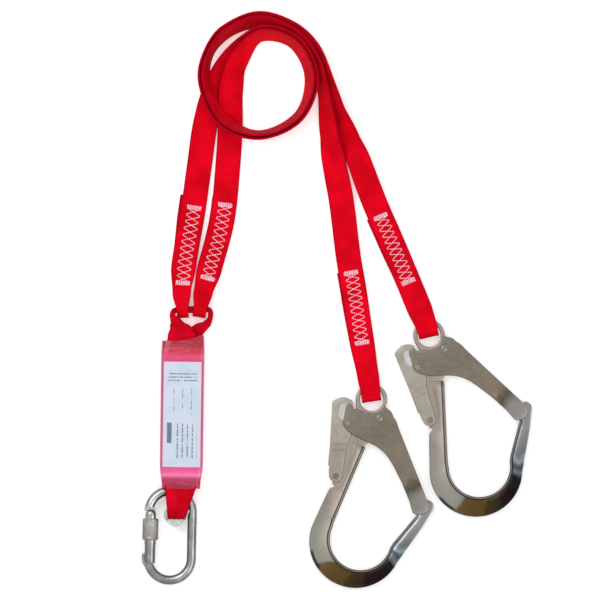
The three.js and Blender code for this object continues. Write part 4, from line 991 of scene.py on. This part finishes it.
def build_upper_loop():
    """Flat at the pack and gathered to a rope through the legs' eyes."""
    axis_turn = math.radians(YOKE["turn"])
    axis = np.array([math.cos(axis_turn), math.sin(axis_turn), 0])
    on_yoke = lambda distance, dx=0.0, dy=0.0, dz=0.0: YOKE["centre"] + axis * distance + (dx, dy, dz)
    rope, rope_height = 2 * YOKE["half_width"], 2 * YOKE["half_height"]
    front, back = PACK["centre"][2] + 8.4, PACK["centre"][2] - 8.4
    path = [
        ((-126.5, -70, front), 38, 2.2), ((-126.4, -50, front - 0.2), 38, 2.2),
        ((-127.4, -39, front - 1.4), 31, 2.6), ((-129, -28.8, 18.8), 23, 2.8),
        ((-133.4, -22.8, 18.2), 12.5, 4.2), ((-137.4, -18.6, 14.6), 6.4, 7.4),
        (on_yoke(-18.9, 0, -0.6, 0.8), 5.6, 8.4), (on_yoke(-12.5), rope, rope_height),
        (on_yoke(0), rope, rope_height), (on_yoke(13), rope, rope_height),
        (on_yoke(19.8, 0, -1.4), 5.6, 8.4), ((-97.0, -19.4, 8), 5.8, 7.4), ((-101.2, -26.4, 6.2), 9, 4.8),
        ((-109.4, -32, 5), 14, 3.8), ((-118, -41.5, 4), 21, 3), ((-125, -55, back), 32, 2.2),
        ((-126, -70, back), 38, 2.2),
    ]
    knots = [(*p, 0, w) for p, w, _ in path]
    line = strap_line(knots, 1.6)
    deep = strap_line([(*p, 0, h) for p, _, h in path], 1.6)["width"]
    sides = 40
    section_round = gathered_section(sides, 0.55)
    section_flat = gathered_section(sides, 0.22)
    rings = []
    for i in range(len(line["s"])):
        width, height = line["width"][i], deep[i]
        # The front band hangs straight, so its rings lie level where it widens.
        level = smooth((width - 8) / 6) * (line["centre"][i][2] > YOKE_Z)
        across = unit(mix(line["across"][i], np.array([-1.0, 0, 0]), level))
        share = smooth((width - 12) / 22)
        section = mix(section_round, section_flat, share)
        gather = 1 - share
        ripple = 1 + gather * 0.1 * np.cos(section[:, 0] * 3.6 * math.pi + 0.4 * math.sin(line["s"][i] * 0.05))
        shaped = np.column_stack([section[:, 0], section[:, 1] * ripple])
        rings.append(ring(line["centre"][i], across, line["normal"][i], width, height * 0.97, shaped))
    marks = strap_marks(line["s"], section_flat, 38)
    new_piece("upper_loop_webbing", skin(rings), loop_webbing, "absorber", ["absorber_upper_loop"],
              marks, sharp=60)


def turn_width(angle):
    """The lower loop's width round its turn, where the angle in radians is 0 in front and pi behind."""
    return mix(LOWER_LOOP["turn_width"], LOWER_LOOP["bottom_width"], math.sin(angle))


def turn_shift(angle):
    """How far the loop's middle lies from the pack's there."""
    return mix(LOWER_LOOP["turn_shift"], LOWER_LOOP["bottom_shift"], math.sin(angle))


def build_lower_loop():
    """Two layers that narrow from the pack to the turn round the plastic guard."""
    turn_y = -PACK["length"] / 2 - LOWER_LOOP["drop"]
    radius, wide = LOWER_LOOP["radius"], LOWER_LOOP["top_width"]
    ys = np.concatenate([np.linspace(-58, -80, 10), np.linspace(-82, turn_y, 26)])
    stations = []

    def straight(y, side):
        share = min(1.0, (y - turn_y) / LOWER_LOOP["drop"])
        offset = mix(radius, 8.4, smooth((y + 84) / 12))
        wave = 0.25 * math.sin(y * 0.45) * smooth((-y - 96) / 10)
        centre = np.array([mix(LOWER_LOOP["turn_shift"], 0, share), y, side * offset + wave])
        stations.append((centre, np.array([0, 0, float(side)]), mix(LOWER_LOOP["turn_width"], wide, share)))

    for y in ys:
        straight(y, 1)
    for angle in np.radians(np.linspace(10, 170, 17)):
        normal = np.array([0, -math.sin(angle), math.cos(angle)])
        centre = np.array([turn_shift(angle), turn_y, 0]) + normal * radius
        stations.append((centre, normal, turn_width(angle)))
    for y in ys[::-1]:
        straight(y, -1)

    rings = []
    for centre, normal, width in stations:
        pleats = pleated(SECTION, width, wide, centre[1] * 0.03)
        shaped = np.column_stack([SECTION[:, 0], SECTION[:, 1] * pleats])
        rings.append(ring(centre, np.array([1.0, 0, 0]), normal, width, WEB_THICKNESS, shaped))
    steps = np.linalg.norm(np.diff([centre for centre, _, _ in stations], axis=0), axis=1)
    points, faces = skin(rings)
    new_piece("lower_loop_webbing", (in_pack(points), faces), loop_webbing, "absorber",
              ["absorber_lower_loop"], strap_marks(np.concatenate([[0], np.cumsum(steps)]), SECTION, wide), sharp=60)


def build_guard():
    """A U-shaped saddle in the turn of the lower loop, with a flared lip at each side."""
    turn_y = -PACK["length"] / 2 - LOWER_LOOP["drop"]
    inner = LOWER_LOOP["radius"] - WEB_THICKNESS / 2 - 0.3
    lip = inner + 3.4
    rings = []
    for angle in np.radians(np.linspace(0, 180, 49)):
        side = turn_width(angle) / 2 + 0.4
        profile = rounded([
            (-side - 1.6, lip), (-side - 0.2, lip), (-side, inner), (side, inner), (side + 0.2, lip),
            (side + 1.6, lip), (side + 1.3, inner - 1.3), (-side - 1.3, inner - 1.3),
        ], 0.7, 4)
        out = np.array([0, -math.sin(angle), math.cos(angle)])
        base = np.array([turn_shift(angle), turn_y, 0])
        rings.append([base + (x, 0, 0) + out * r for x, r in profile])
    points, faces = carve(skin(rings), [guard_scoop(turn_y)], "UNION")
    new_piece("loop_guard_saddle", (in_pack(points), faces), guard_plastic, "absorber",
              ["loop_guard"], sharp=40)


def guard_scoop(turn_y):
    """The scoop below the saddle: it joins the two lips and shields the end of the webbing."""
    half = LOWER_LOOP["bottom_width"] / 2 + 0.3
    left = half + 0.8
    inner = turn_y - LOWER_LOOP["radius"] - WEB_THICKNESS / 2 - 0.3
    x = LOWER_LOOP["bottom_shift"]
    outline = rounded([
        (x - half, turn_y + 1), (x - left - 2.4, turn_y + 1), (x - left - 4.2, turn_y - 3),
        (x - left - 4, turn_y - 8), (x - left - 1, turn_y - 13), (x - 4, turn_y - 17.5), (x + 1, turn_y - 18.5),
        (x + 5, turn_y - 16.5), (x + half + 1.6, turn_y - 9), (x + half + 1.8, turn_y + 1),
        (x + half, turn_y + 1), (x + half, inner), (x - half, inner),
    ], 3.0, 5)
    return plate(outline, -2.2, 2.2, ((0.0, 0.7), (0.1, 0.3), (0.25, 0.08), (0.4, 0.0)))


# ---------------------------------------------------------------- karabiner
KARABINER = {
    "centre": (-140.3, -254.2, 11.7), "turn": -1.2, "half_span": 23.4, "half_length": 48.3, "bar_radius": 5.0,
    "gate_radius": 6.2, "hinge_y": 21.3, "latch_y": -24.7, "sleeve_radius": 8.75, "sleeve_length": 23.0,
    "sleeve_top": 17.7,
}
GATE_X = -KARABINER["half_span"] + 2


def karabiner_piece(name, shape, material, body, stands_for):
    points, faces = shape
    placed_points = placed(points, KARABINER["centre"], KARABINER["turn"])
    return new_piece(name, (placed_points, faces), material, body, stands_for)


def upright(centre, radius, bottom, top, segments=32, chamfer=0.0):
    profile = [(0, bottom), (radius - chamfer, bottom), (radius, bottom + chamfer), (radius, top - chamfer),
               (radius - chamfer, top), (0, top)]
    if not chamfer:
        profile = [(0, bottom), (radius, bottom), (radius, top), (0, top)]
    return moved(lathe(profile, segments), (*centre, 0))


def prism(outline, bottom, top):
    return plate(outline, bottom, top, ((0.0, 0.0),))


def build_karabiner():
    k = KARABINER
    span, arc_y = k["half_span"], k["half_length"] - k["half_span"]
    top = arc((0, arc_y), span, 178, 0, 40)
    bottom = arc((0, -arc_y), span, 0, -176, 40)
    right = np.column_stack([np.full(6, span), np.linspace(arc_y, -arc_y, 8)[1:-1]])
    line = np.vstack([top, right, bottom])
    bar = tube(np.column_stack([line, np.zeros(len(line))]), k["bar_radius"], 32)
    x, hinge, latch = GATE_X, k["hinge_y"], k["latch_y"]
    tongue_half, claw_half = 2.2, 2.0
    cuts = [
        box_shape((x - 10, hinge - 17, tongue_half), (x + 10, hinge + 9, 9)),
        box_shape((x - 10, hinge - 17, -9), (x + 10, hinge + 9, -tongue_half)),
        box_shape((x - 10, hinge - 22.5, -10), (x + 10, hinge - 2.5, 10)),
        box_shape((x - 13, -31.6, -12), (x + 11, -19.6, 12)),
    ]
    bar = carve(bar, cuts, "DIFFERENCE")
    tongue = upright((x, hinge), 4.6, -tongue_half, tongue_half)
    neck = prism([(x - 4.6, hinge), (x + 4.6, hinge), (x + 5, hinge + 9), (x - 5, hinge + 9)], -tongue_half + 0.01,
                 tongue_half - 0.01)
    claw_top = latch + 11
    claw = plate(rounded([
        (x - 3.4, -31.5), (x - 5, -35), (x + 3.6, -34), (x + 3.6, latch - 1.9), (x - 1.9, latch - 1.9),
        (x - 1.9, latch + 1.9), (x + 1.2, latch + 1.9), (x + 0.6, claw_top - 1.5), (x - 1, claw_top),
        (x - 4.4, claw_top - 1), (x - 5.2, latch + 6.5), (x - 8.4, latch + 5), (x - 9, latch + 1),
        (x - 8.2, latch - 6), (x - 5, -35),
    ][2:], 1.2), -claw_half, claw_half, ((0.0, 0.4), (0.12, 0.12), (0.4, 0.0)))
    body = carve(bar, [tongue, neck, claw], "UNION")
    body = carve(body, [upright((x, hinge), 1.95, -20, 20)], "DIFFERENCE")
    karabiner_piece("karabiner_frame", body, zinc, "karabiner", ["karabiner_body"])

    barrel_bottom, r = -30.6, k["gate_radius"]
    dome = [(r * math.cos(math.radians(a)), hinge + 0.4 + 6.4 * math.sin(math.radians(a))) for a in range(0, 90, 9)]
    barrel = lathe([(0, barrel_bottom), (r - 1, barrel_bottom), (r - 0.3, barrel_bottom + 0.3),
                    (r, barrel_bottom + 1), *dome, (0, hinge + 6.8)], 56)
    barrel = moved(along_y(barrel), (x, 0, 0))
    bore = moved(along_y(lathe([(0, -9), (2.6, -9), (2.6, 9), (0, 9)], 24)), (x, hinge - 13.5, 0))
    cuts = [
        box_shape((x - 10, hinge - 5.4, -2.5), (x + 10, hinge + 14.6, 2.5)),
        box_shape((x - 14, barrel_bottom - 1.2, -2.4), (x + 10, barrel_bottom + 20.8, 2.4)),
        bore,
        upright((x, hinge), 1.95, -12, 12),
        upright((x, latch), 1.65, -12, 12),
    ]
    gate = carve(barrel, cuts, "DIFFERENCE")
    karabiner_piece("karabiner_gate_barrel", gate, zinc, "karabiner_gate", ["karabiner_gate"])

    for name, y, radius, body_name in (
        ("hinge", hinge, 1.7, "karabiner"), ("latch", latch, 1.4, "karabiner_gate"),
    ):
        pin = upright((x, y), radius, -r + 0.1, r - 0.1, 28, 0.3)
        karabiner_piece(f"karabiner_{name}_rivet", pin, sleeve_steel, body_name,
                        [f"karabiner_{name}_pin"])

    turns = np.linspace(0, 5 * 2 * math.pi, 120)
    spring_y = np.linspace(hinge - 21.5, hinge - 11.2, 120)
    spring = tube(np.column_stack([x + 1.6 * np.cos(turns), spring_y, 1.6 * np.sin(turns)]), 0.35, 8)
    karabiner_piece("karabiner_gate_coil", spring, spring_steel, "karabiner_gate",
                    ["karabiner_gate_spring"])
    plunger = lathe([(0, -2.3), (2.0, -2.3), (2.3, -2.0), (2.3, 1.2), (1.6, 2.1), (0, 2.3)], 28)
    karabiner_piece("karabiner_gate_plunger", moved(along_y(plunger), (x, hinge - 8.3, 0)), zinc, "karabiner_gate",
                    ["karabiner_plunger"])
    build_sleeve(x)


def build_sleeve(x):
    """The screw sleeve: diamond knurling between two chamfered plain ends."""
    k = KARABINER
    radius, length = k["sleeve_radius"], k["sleeve_length"]
    inner = k["gate_radius"] + 0.3
    sides, rows, starts, pitch, depth = 168, 56, 42, 2.6, 0.32
    angles = np.arange(sides) * 2 * math.pi / sides
    heights = np.concatenate([[0, 0.9, 2.6], np.linspace(2.8, length - 2.8, rows), [length - 2.6, length - 0.9, length]])
    wave = lambda v: np.abs(((v % 1) * 2) - 1)
    rings = [np.column_stack([inner * np.cos(angles), inner * np.sin(angles), np.zeros(sides)])]
    for y in heights:
        knurled = smooth((min(y, length - y) - 2.6) / 0.4)
        turn = angles / (2 * math.pi) * starts
        ridge = np.minimum(wave(turn + y / pitch), wave(turn - y / pitch))
        r = radius - 0.1 - depth * knurled * (1 - ridge) - 0.9 * (min(y, length - y) < 0.05)
        rings.append(np.column_stack([r * np.cos(angles), r * np.sin(angles), np.full(sides, y)]))
    rings.append(np.column_stack([inner * np.cos(angles), inner * np.sin(angles), np.full(sides, length)]))
    shape = along_y(skin(rings, closed=True))
    shape = moved(shape, (x, k["sleeve_top"] - length, 0))
    karabiner_piece("karabiner_screw_sleeve", shape, sleeve_steel, "karabiner_sleeve",
                    ["karabiner_sleeve"])


# ---------------------------------------------------------------- scaffold hooks
HOOK = {
    "eye_hole": 12.6, "eye_outer": 17.2, "head_half": 2.6, "body_half": 4.25,
    "lever": (2.9, 4.3), "gate": (4.7, 6.2),
    "gate_pivot": np.array([15.7, -14.8]), "lever_pivot": np.array([-3.2, -91.4]), "lock_pin": np.array([-13.8, -33.7]),
    "mouth": (48, -144), "mouth_radius": 33, "bowl": (44, -148), "bowl_radius": 50.3,
    "gate_travel": 25, "lever_per_gate": 0.18,
}
GATE_OUTLINE = [
    (-22.8, -15.2), (-18.5, -13), (-13, -17), (-8, -15.5), (0, -15.6), (8, -13), (13.4, -7), (14.5, 0.3),
    (19, -2.5), (25, -3.5), (29, -8), (34, -11), (38.5, -16.5), (95.5, -74.5), (102.5, -82), (103, -88),
    (98.5, -94.5), (89, -96.5), (81, -86), (66, -71), (50, -57.5), (42, -51.5), (34, -47.3), (25, -44.9),
    (14, -44.2), (-3.5, -43.4), (-12, -41), (-18.6, -36.5), (-19.6, -30), (-22, -21),
]
LEVER_OUTLINE = [
    (-38.5, -17.5), (-30.5, -9.7), (-24, -8.4), (-17.5, -9.5), (-9, -30), (-5, -45), (-5.2, -55),
    (-2, -69), (3.4, -89), (2.6, -94.6), (-2.4, -98.2), (-8, -97), (-10.6, -93.5), (-24, -58), (-36.6, -23),
]


# Painted reflection along the gate's length, with a painted shade band near the nose at 0.8.
GATE_TONES = [
    (0.0, srgb(130, 125, 116)), (0.3, srgb(116, 107, 93)), (0.48, srgb(124, 114, 101)), (0.72, srgb(122, 110, 96)),
    (0.8, srgb(70, 61, 46)), (0.88, srgb(132, 128, 121)), (1.0, srgb(148, 147, 144)),
]


def rotate(vector, degrees):
    a = math.radians(degrees)
    return np.array([vector[0] * math.cos(a) - vector[1] * math.sin(a), vector[0] * math.sin(a) + vector[1] * math.cos(a)])


def wall(points, thickness, bottom, top):
    """A thin upright wall along a line, as one closed strip."""
    line = np.asarray(points, float)
    along = unit(np.gradient(line, axis=0))
    side = np.column_stack([-along[:, 1], along[:, 0]]) * thickness / 2
    outline = np.vstack([line + side, (line - side)[::-1]])
    return plate(outline, bottom, top, ((0.0, 0.0),))


def forged_j():
    """The J's outline as an inner and an outer stretch, and how far its rim's step reaches in at each point."""
    mouth, bowl = HOOK["mouth"], HOOK["bowl"]
    inner = np.vstack([
        np.column_stack([np.full(12, 14.2), np.linspace(-50, -138, 12)]), arc(mouth, HOOK["mouth_radius"], 180, 368, 64),
        np.column_stack([np.linspace(82, 93.2, 8), np.linspace(-133, -97, 8)]),
    ])
    nose = arc((100, -84), 8, 185, -20, 26)
    outer = np.vstack([
        [(105.8, -98), (104.5, -106)], arc(bowl, HOOK["bowl_radius"], -4, -176, 72),
        [(-5.6, -128), (-5.2, -116), (-4.8, -106), (4.4, -97), (6.2, -84), (3.4, -66), (0.4, -50)],
    ])
    outline = np.vstack([inner, nose, outer])
    reach = np.concatenate([np.ones(len(inner)), np.full(len(nose), 0.5), np.full(len(outer), 0.28)])
    kernel = np.ones(5) / 5
    padded = np.concatenate([reach[-2:], reach, reach[:2]])
    return outline, np.convolve(padded, kernel, "valid")


def distance_from(line, points):
    """How far points are from a line of closely spaced points, taken between each two of them."""
    best = np.full(len(points), 1e9)
    for a, b in zip(line, line[1:]):
        edge = b - a
        t = np.clip((points - a) @ edge / (edge @ edge + 1e-9), 0, 1)
        best = np.minimum(best, np.linalg.norm(points - a - t[:, None] * edge, axis=1))
    return best


def hook_body():
    outline, reach = forged_j()
    half = HOOK["body_half"]
    rim = ((0.0, 2.6), (0.25, 1.5), (0.9, 0.95), (2.5, 0.8), (2.9, 0.7), (3.1, 0.15), (3.4, 0.0))
    j = plate(outline, -half, half, rim, scale=reach)
    ring_outer = arc((0, 0), HOOK["eye_outer"], -12, 208, 64)
    head = [(-9, -20), (-8.5, -45), (-5.2, -62), (-5.2, -86), (-4, -100), (6, -104), (12, -98), (12, -50),
            (24, -27), (25.2, -16), (22, -8.5)]
    outline = np.vstack([ring_outer, head])
    hole = arc((0, 0), HOOK["eye_hole"], 0, 360, 73)[:-1]
    edge = ((0.0, 1.1), (0.2, 0.5), (0.55, 0.15), (1.1, 0.0))
    thin = plate(outline, -HOOK["head_half"], HOOK["head_half"], edge, holes=[hole])
    lug = upright(HOOK["lever_pivot"], 5, -HOOK["head_half"] + 0.02, HOOK["head_half"] - 0.02, 40)
    return carve(j, [thin, lug], "UNION")


def hook_gate():
    outline = rounded(GATE_OUTLINE, 3.0, 5)
    corner_a, corner_b, corner_c = np.array([66.5, -69.5]), np.array([72, -63.5]), np.array([83, -86])

    def dimple(x, y):
        """A pressed triangle beside the inner edge near the nose."""
        p = np.array([x, y])
        depths = []
        for a, b in ((corner_a, corner_b), (corner_b, corner_c), (corner_c, corner_a)):
            edge = b - a
            depths.append((edge[0] * (p - a)[1] - edge[1] * (p - a)[0]) / np.linalg.norm(edge))
        depth = min(depths) if depths[0] > 0 else min(-d for d in depths)
        return -0.8 * float(smooth(depth / 2.2))

    inner, outer = HOOK["gate"]
    edge = ((0.0, 0.8), (0.15, 0.35), (0.4, 0.1), (0.7, 0.0))
    front = plate(outline, inner, outer, edge, relief=dimple, both=False)
    back = (front[0] * (1, 1, -1), front[1])
    web = wall([(18.5, -4.6), (24.2, -5.3), (28, -9.6), (33.2, -12.6), (37.6, -17.9), (91, -72.6)], 1.8, -inner - 0.3,
               inner + 0.3)
    stop = wall([(83.5, -87), (88.5, -94)], 2.2, -inner - 0.3, inner + 0.3)
    return carve(front, [back, web, stop], "UNION")


def lock_pin_path():
    """Where the lock pin runs in the lever as the gate opens."""
    out = []
    for gate in np.linspace(-1.5, HOOK["gate_travel"] + 1.5, 9):
        arm = rotate(HOOK["lock_pin"] - HOOK["gate_pivot"], -gate) + HOOK["gate_pivot"] - HOOK["lever_pivot"]
        out.append(rotate(arm, gate * HOOK["lever_per_gate"]) + HOOK["lever_pivot"])
    return np.array(out)


def slot_outline(path, radius):
    along = unit(np.gradient(path, axis=0))
    side = np.column_stack([-along[:, 1], along[:, 0]]) * radius
    first = math.degrees(math.atan2(side[0][1], side[0][0]))
    last = math.degrees(math.atan2(-side[-1][1], -side[-1][0]))
    start_cap = arc(path[0], radius, first, first + 180, 12)[1:-1]
    end_cap = arc(path[-1], radius, last, last + 180, 12)[1:-1]
    return np.vstack([path + side, end_cap[::-1], (path - side)[::-1], start_cap[::-1]])


def pressed_rib(start, end, face):
    """A low rounded rib pressed up from a face, from one point to another."""
    line = np.linspace((*start, face), (*end, face), 14)
    radii = 0.62 * np.sqrt(np.clip(1 - np.linspace(-1, 1, 14) ** 8, 0.02, 1))
    return tube(line, radii, 12)


def hook_lever():
    outline = rounded(LEVER_OUTLINE, 2.2, 5)
    slot = slot_outline(lock_pin_path(), 2.7)
    crescent = rounded([(-28.3, -19.5), (-26, -15.2), (-21, -14.6), (-16.5, -20), (-15.6, -28.5), (-20.5, -33),
                        (-26.2, -30)], 2.5, 5)

    inner, outer = HOOK["lever"]
    edge = ((0.0, 0.55), (0.15, 0.25), (0.45, 0.06), (0.8, 0.0))
    front = plate(outline, inner, outer, edge, both=False)
    ribs = [pressed_rib((-20.6, -60.6), (-6.4, -54.8), outer), pressed_rib((-20.8, -67.4), (-4.6, -61.4), outer)]
    front = carve(front, ribs, "UNION")
    back = (front[0] * (1, 1, -1), front[1])
    web = wall([(-15, -83.5), (-22.6, -59.5), (-35.6, -23.4), (-37, -18.2), (-30, -11), (-23.5, -9.4)], 1.3,
               -inner - 0.4, inner + 0.4)
    lever = carve(front, [back, web], "UNION")
    holes = [prism(slot, -9, 9), prism(crescent, -9, 9)]
    return carve(lever, holes, "DIFFERENCE")


def rivet(centre, radius, head, half):
    """A riveted pin: a shank and two low heads, each with a shallow ring and a dimple."""
    def end(sign):
        profile = [(radius, 0.0), (head, 0.0), (head, 0.22), (head - 0.25, 0.45), (head * 0.72, 0.5),
                   (head * 0.64, 0.32), (head * 0.5, 0.32), (head * 0.42, 0.5), (head * 0.15, 0.42), (0, 0.38)]
        return [(r, sign * (half + h)) for r, h in profile]
    profile = end(-1)[::-1] + end(1)
    return moved(lathe(profile, 44), (*centre, 0))


def spiral(centre, z, start_radius, end_radius, turns, wire):
    angles = np.linspace(0, turns * 2 * math.pi, 90)
    radii = np.linspace(start_radius, end_radius, 90)
    line = np.column_stack([centre[0] + radii * np.cos(angles), centre[1] + radii * np.sin(angles), np.full(90, z)])
    return tube(line, wire, 8)


def build_hook(name):
    eye, turn = HOOKS[name]["eye"], HOOKS[name]["turn"]
    plating = steel_finish(name + "_gate_plating", srgb(130, 121, 104), srgb(104, 96, 82), (0.24, 0.4),
                           (0.012, 0.3, 0.3), turn=turn, tones=GATE_TONES, worked=0.4)
    lever_plating = steel_finish(name + "_lever_plating", srgb(168, 162, 150), srgb(154, 147, 135), (0.24, 0.38),
                                 (0.3, 0.015, 0.3), tarnish=0.25, turn=turn, worked=0.4)
    spine = spine_finish(name + "_spine_plating", turn)

    def add(piece, shape, material, body, stands_for, marks=None):
        points, faces = shape
        origin = (*eye, HOOK_PLANE)
        return new_piece(f"{name}_{piece}", (placed(points, origin, turn), faces), material, body,
                         [f"{name}_{node}" for node in stands_for], marks)

    body = hook_body()
    rel = body[0][:, :2] - HOOK["bowl"]
    sweep = (np.degrees(np.arctan2(rel[:, 1], rel[:, 0])) + 180) % 360
    sweep = np.where(sweep > 262, sweep - 360, sweep)
    middle = (HOOK["bowl_radius"] + HOOK["mouth_radius"]) / 2
    lateral = np.clip((np.linalg.norm(rel, axis=1) - middle) / 9, -1.5, 1.5)
    rim = distance_from(forged_j()[0][:84], body[0][:, :2])
    thick = np.abs(body[0][:, 2]) > HOOK["head_half"] + 0.2
    marks = {"sweep": sweep, "lateral": lateral, "rim": np.where(thick, rim, 9.0)}
    add("forging", body, spine, name, ["body"], marks)
    gate = hook_gate()
    down_gate = (gate[0][:, :2] - HOOK["gate_pivot"]) @ unit(np.array([98, -92]) - HOOK["gate_pivot"])
    length = np.clip((down_gate + 30) / 145, 0, 1)
    add("gate_shell", gate, plating, name + "_gate", ["gate"], {"length": length})
    add("lever_shell", hook_lever(), lever_plating, name + "_lever", ["lever"])
    reach = HOOK["gate"][1]
    add("gate_rivet", rivet(HOOK["gate_pivot"], 3.2, 4.2, reach), plating, name, ["gate_pivot"])
    add("lever_rivet", rivet(HOOK["lever_pivot"], 2.4, 3.4, HOOK["lever"][1]), dark_steel, name,
        ["lever_pivot"])
    add("lock_rivet", rivet(HOOK["lock_pin"], 2.2, 3.0, reach), dark_steel, name + "_gate",
        ["lock_pin"])
    add("gate_spiral", spiral(HOOK["gate_pivot"], 3.65, 4.4, 7.4, 1.7, 0.55), spring_steel, name,
        ["gate_spring"])
    turns = np.linspace(0, 4 * 2 * math.pi, 96)
    coil = np.column_stack([np.linspace(-6.3, -15, 96), -66 + 1.6 * np.cos(turns), 1.6 * np.sin(turns)])
    add("lever_coil", tube(coil, 0.4, 8), spring_steel, name, ["lever_spring"])


# ---------------------------------------------------------------- floor, light and camera
PHOTO_WIDTH = 0.648  # metres across the whole picture
VIEW_CENTRE = SHIFT[:2] * MM


def add_area(name, place, target, size, power, colour=(1, 1, 1)):
    light = bpy.data.lights.new(name, "AREA")
    light.shape = "RECTANGLE"
    light.size, light.size_y = size
    light.energy = power
    light.color = colour
    obj = bpy.data.objects.new(name, light)
    obj.location = place
    obj.rotation_euler = (Vector(target) - Vector(place)).to_track_quat("-Z", "Y").to_euler()
    bpy.context.scene.collection.objects.link(obj)


def build_stage():
    size = 4.0
    corners = [(-size, -size, -0.0004), (size, -size, -0.0004), (size, size, -0.0004), (-size, size, -0.0004)]
    mesh = bpy.data.meshes.new("floor")
    mesh.from_pydata(corners, [], [(0, 1, 2, 3)])
    mesh.materials.append(floor_finish())
    floor = bpy.data.objects.new("floor", mesh)
    bpy.context.scene.collection.objects.link(floor)

    world = bpy.data.worlds.new("studio")
    world.use_nodes = True
    tree = world.node_tree
    tree.nodes.clear()
    coordinates = tree.nodes.new("ShaderNodeTexCoord")
    separate = tree.nodes.new("ShaderNodeSeparateXYZ")
    ramp = tree.nodes.new("ShaderNodeValToRGB")
    background = tree.nodes.new("ShaderNodeBackground")
    out = tree.nodes.new("ShaderNodeOutputWorld")
    tree.links.new(coordinates.outputs["Generated"], separate.inputs[0])
    tree.links.new(separate.outputs["Z"], ramp.inputs["Fac"])
    tree.links.new(ramp.outputs["Color"], background.inputs["Color"])
    tree.links.new(background.outputs[0], out.inputs["Surface"])
    elements = ramp.color_ramp.elements
    elements[0].position, elements[0].color = 0.0, (0.34, 0.33, 0.32, 1)
    elements[1].position, elements[1].color = 0.75, (1.0, 1.0, 1.0, 1)
    background.inputs["Strength"].default_value = 0.85
    bpy.context.scene.world = world

    add_area("key", (-0.7, 0.7, 1.5), (0, 0, 0), (1.2, 1.2), 10)
    add_area("fill", (0.9, -0.5, 1.3), (0, 0, 0), (1.0, 1.0), 4.5)

    camera = bpy.data.cameras.new("camera")
    camera.type = "ORTHO"
    camera.ortho_scale = PHOTO_WIDTH
    camera_object = bpy.data.objects.new("camera", camera)
    camera_object.location = (*VIEW_CENTRE, 1.2)
    bpy.context.scene.collection.objects.link(camera_object)
    bpy.context.scene.camera = camera_object
    bpy.context.scene.view_settings.view_transform = "Standard"


build_legs()
build_cover()
build_tear_webbing()
build_label()
build_upper_loop()
build_lower_loop()
build_guard()
build_karabiner()
for hook in HOOKS:
    build_hook(hook)
build_stage()
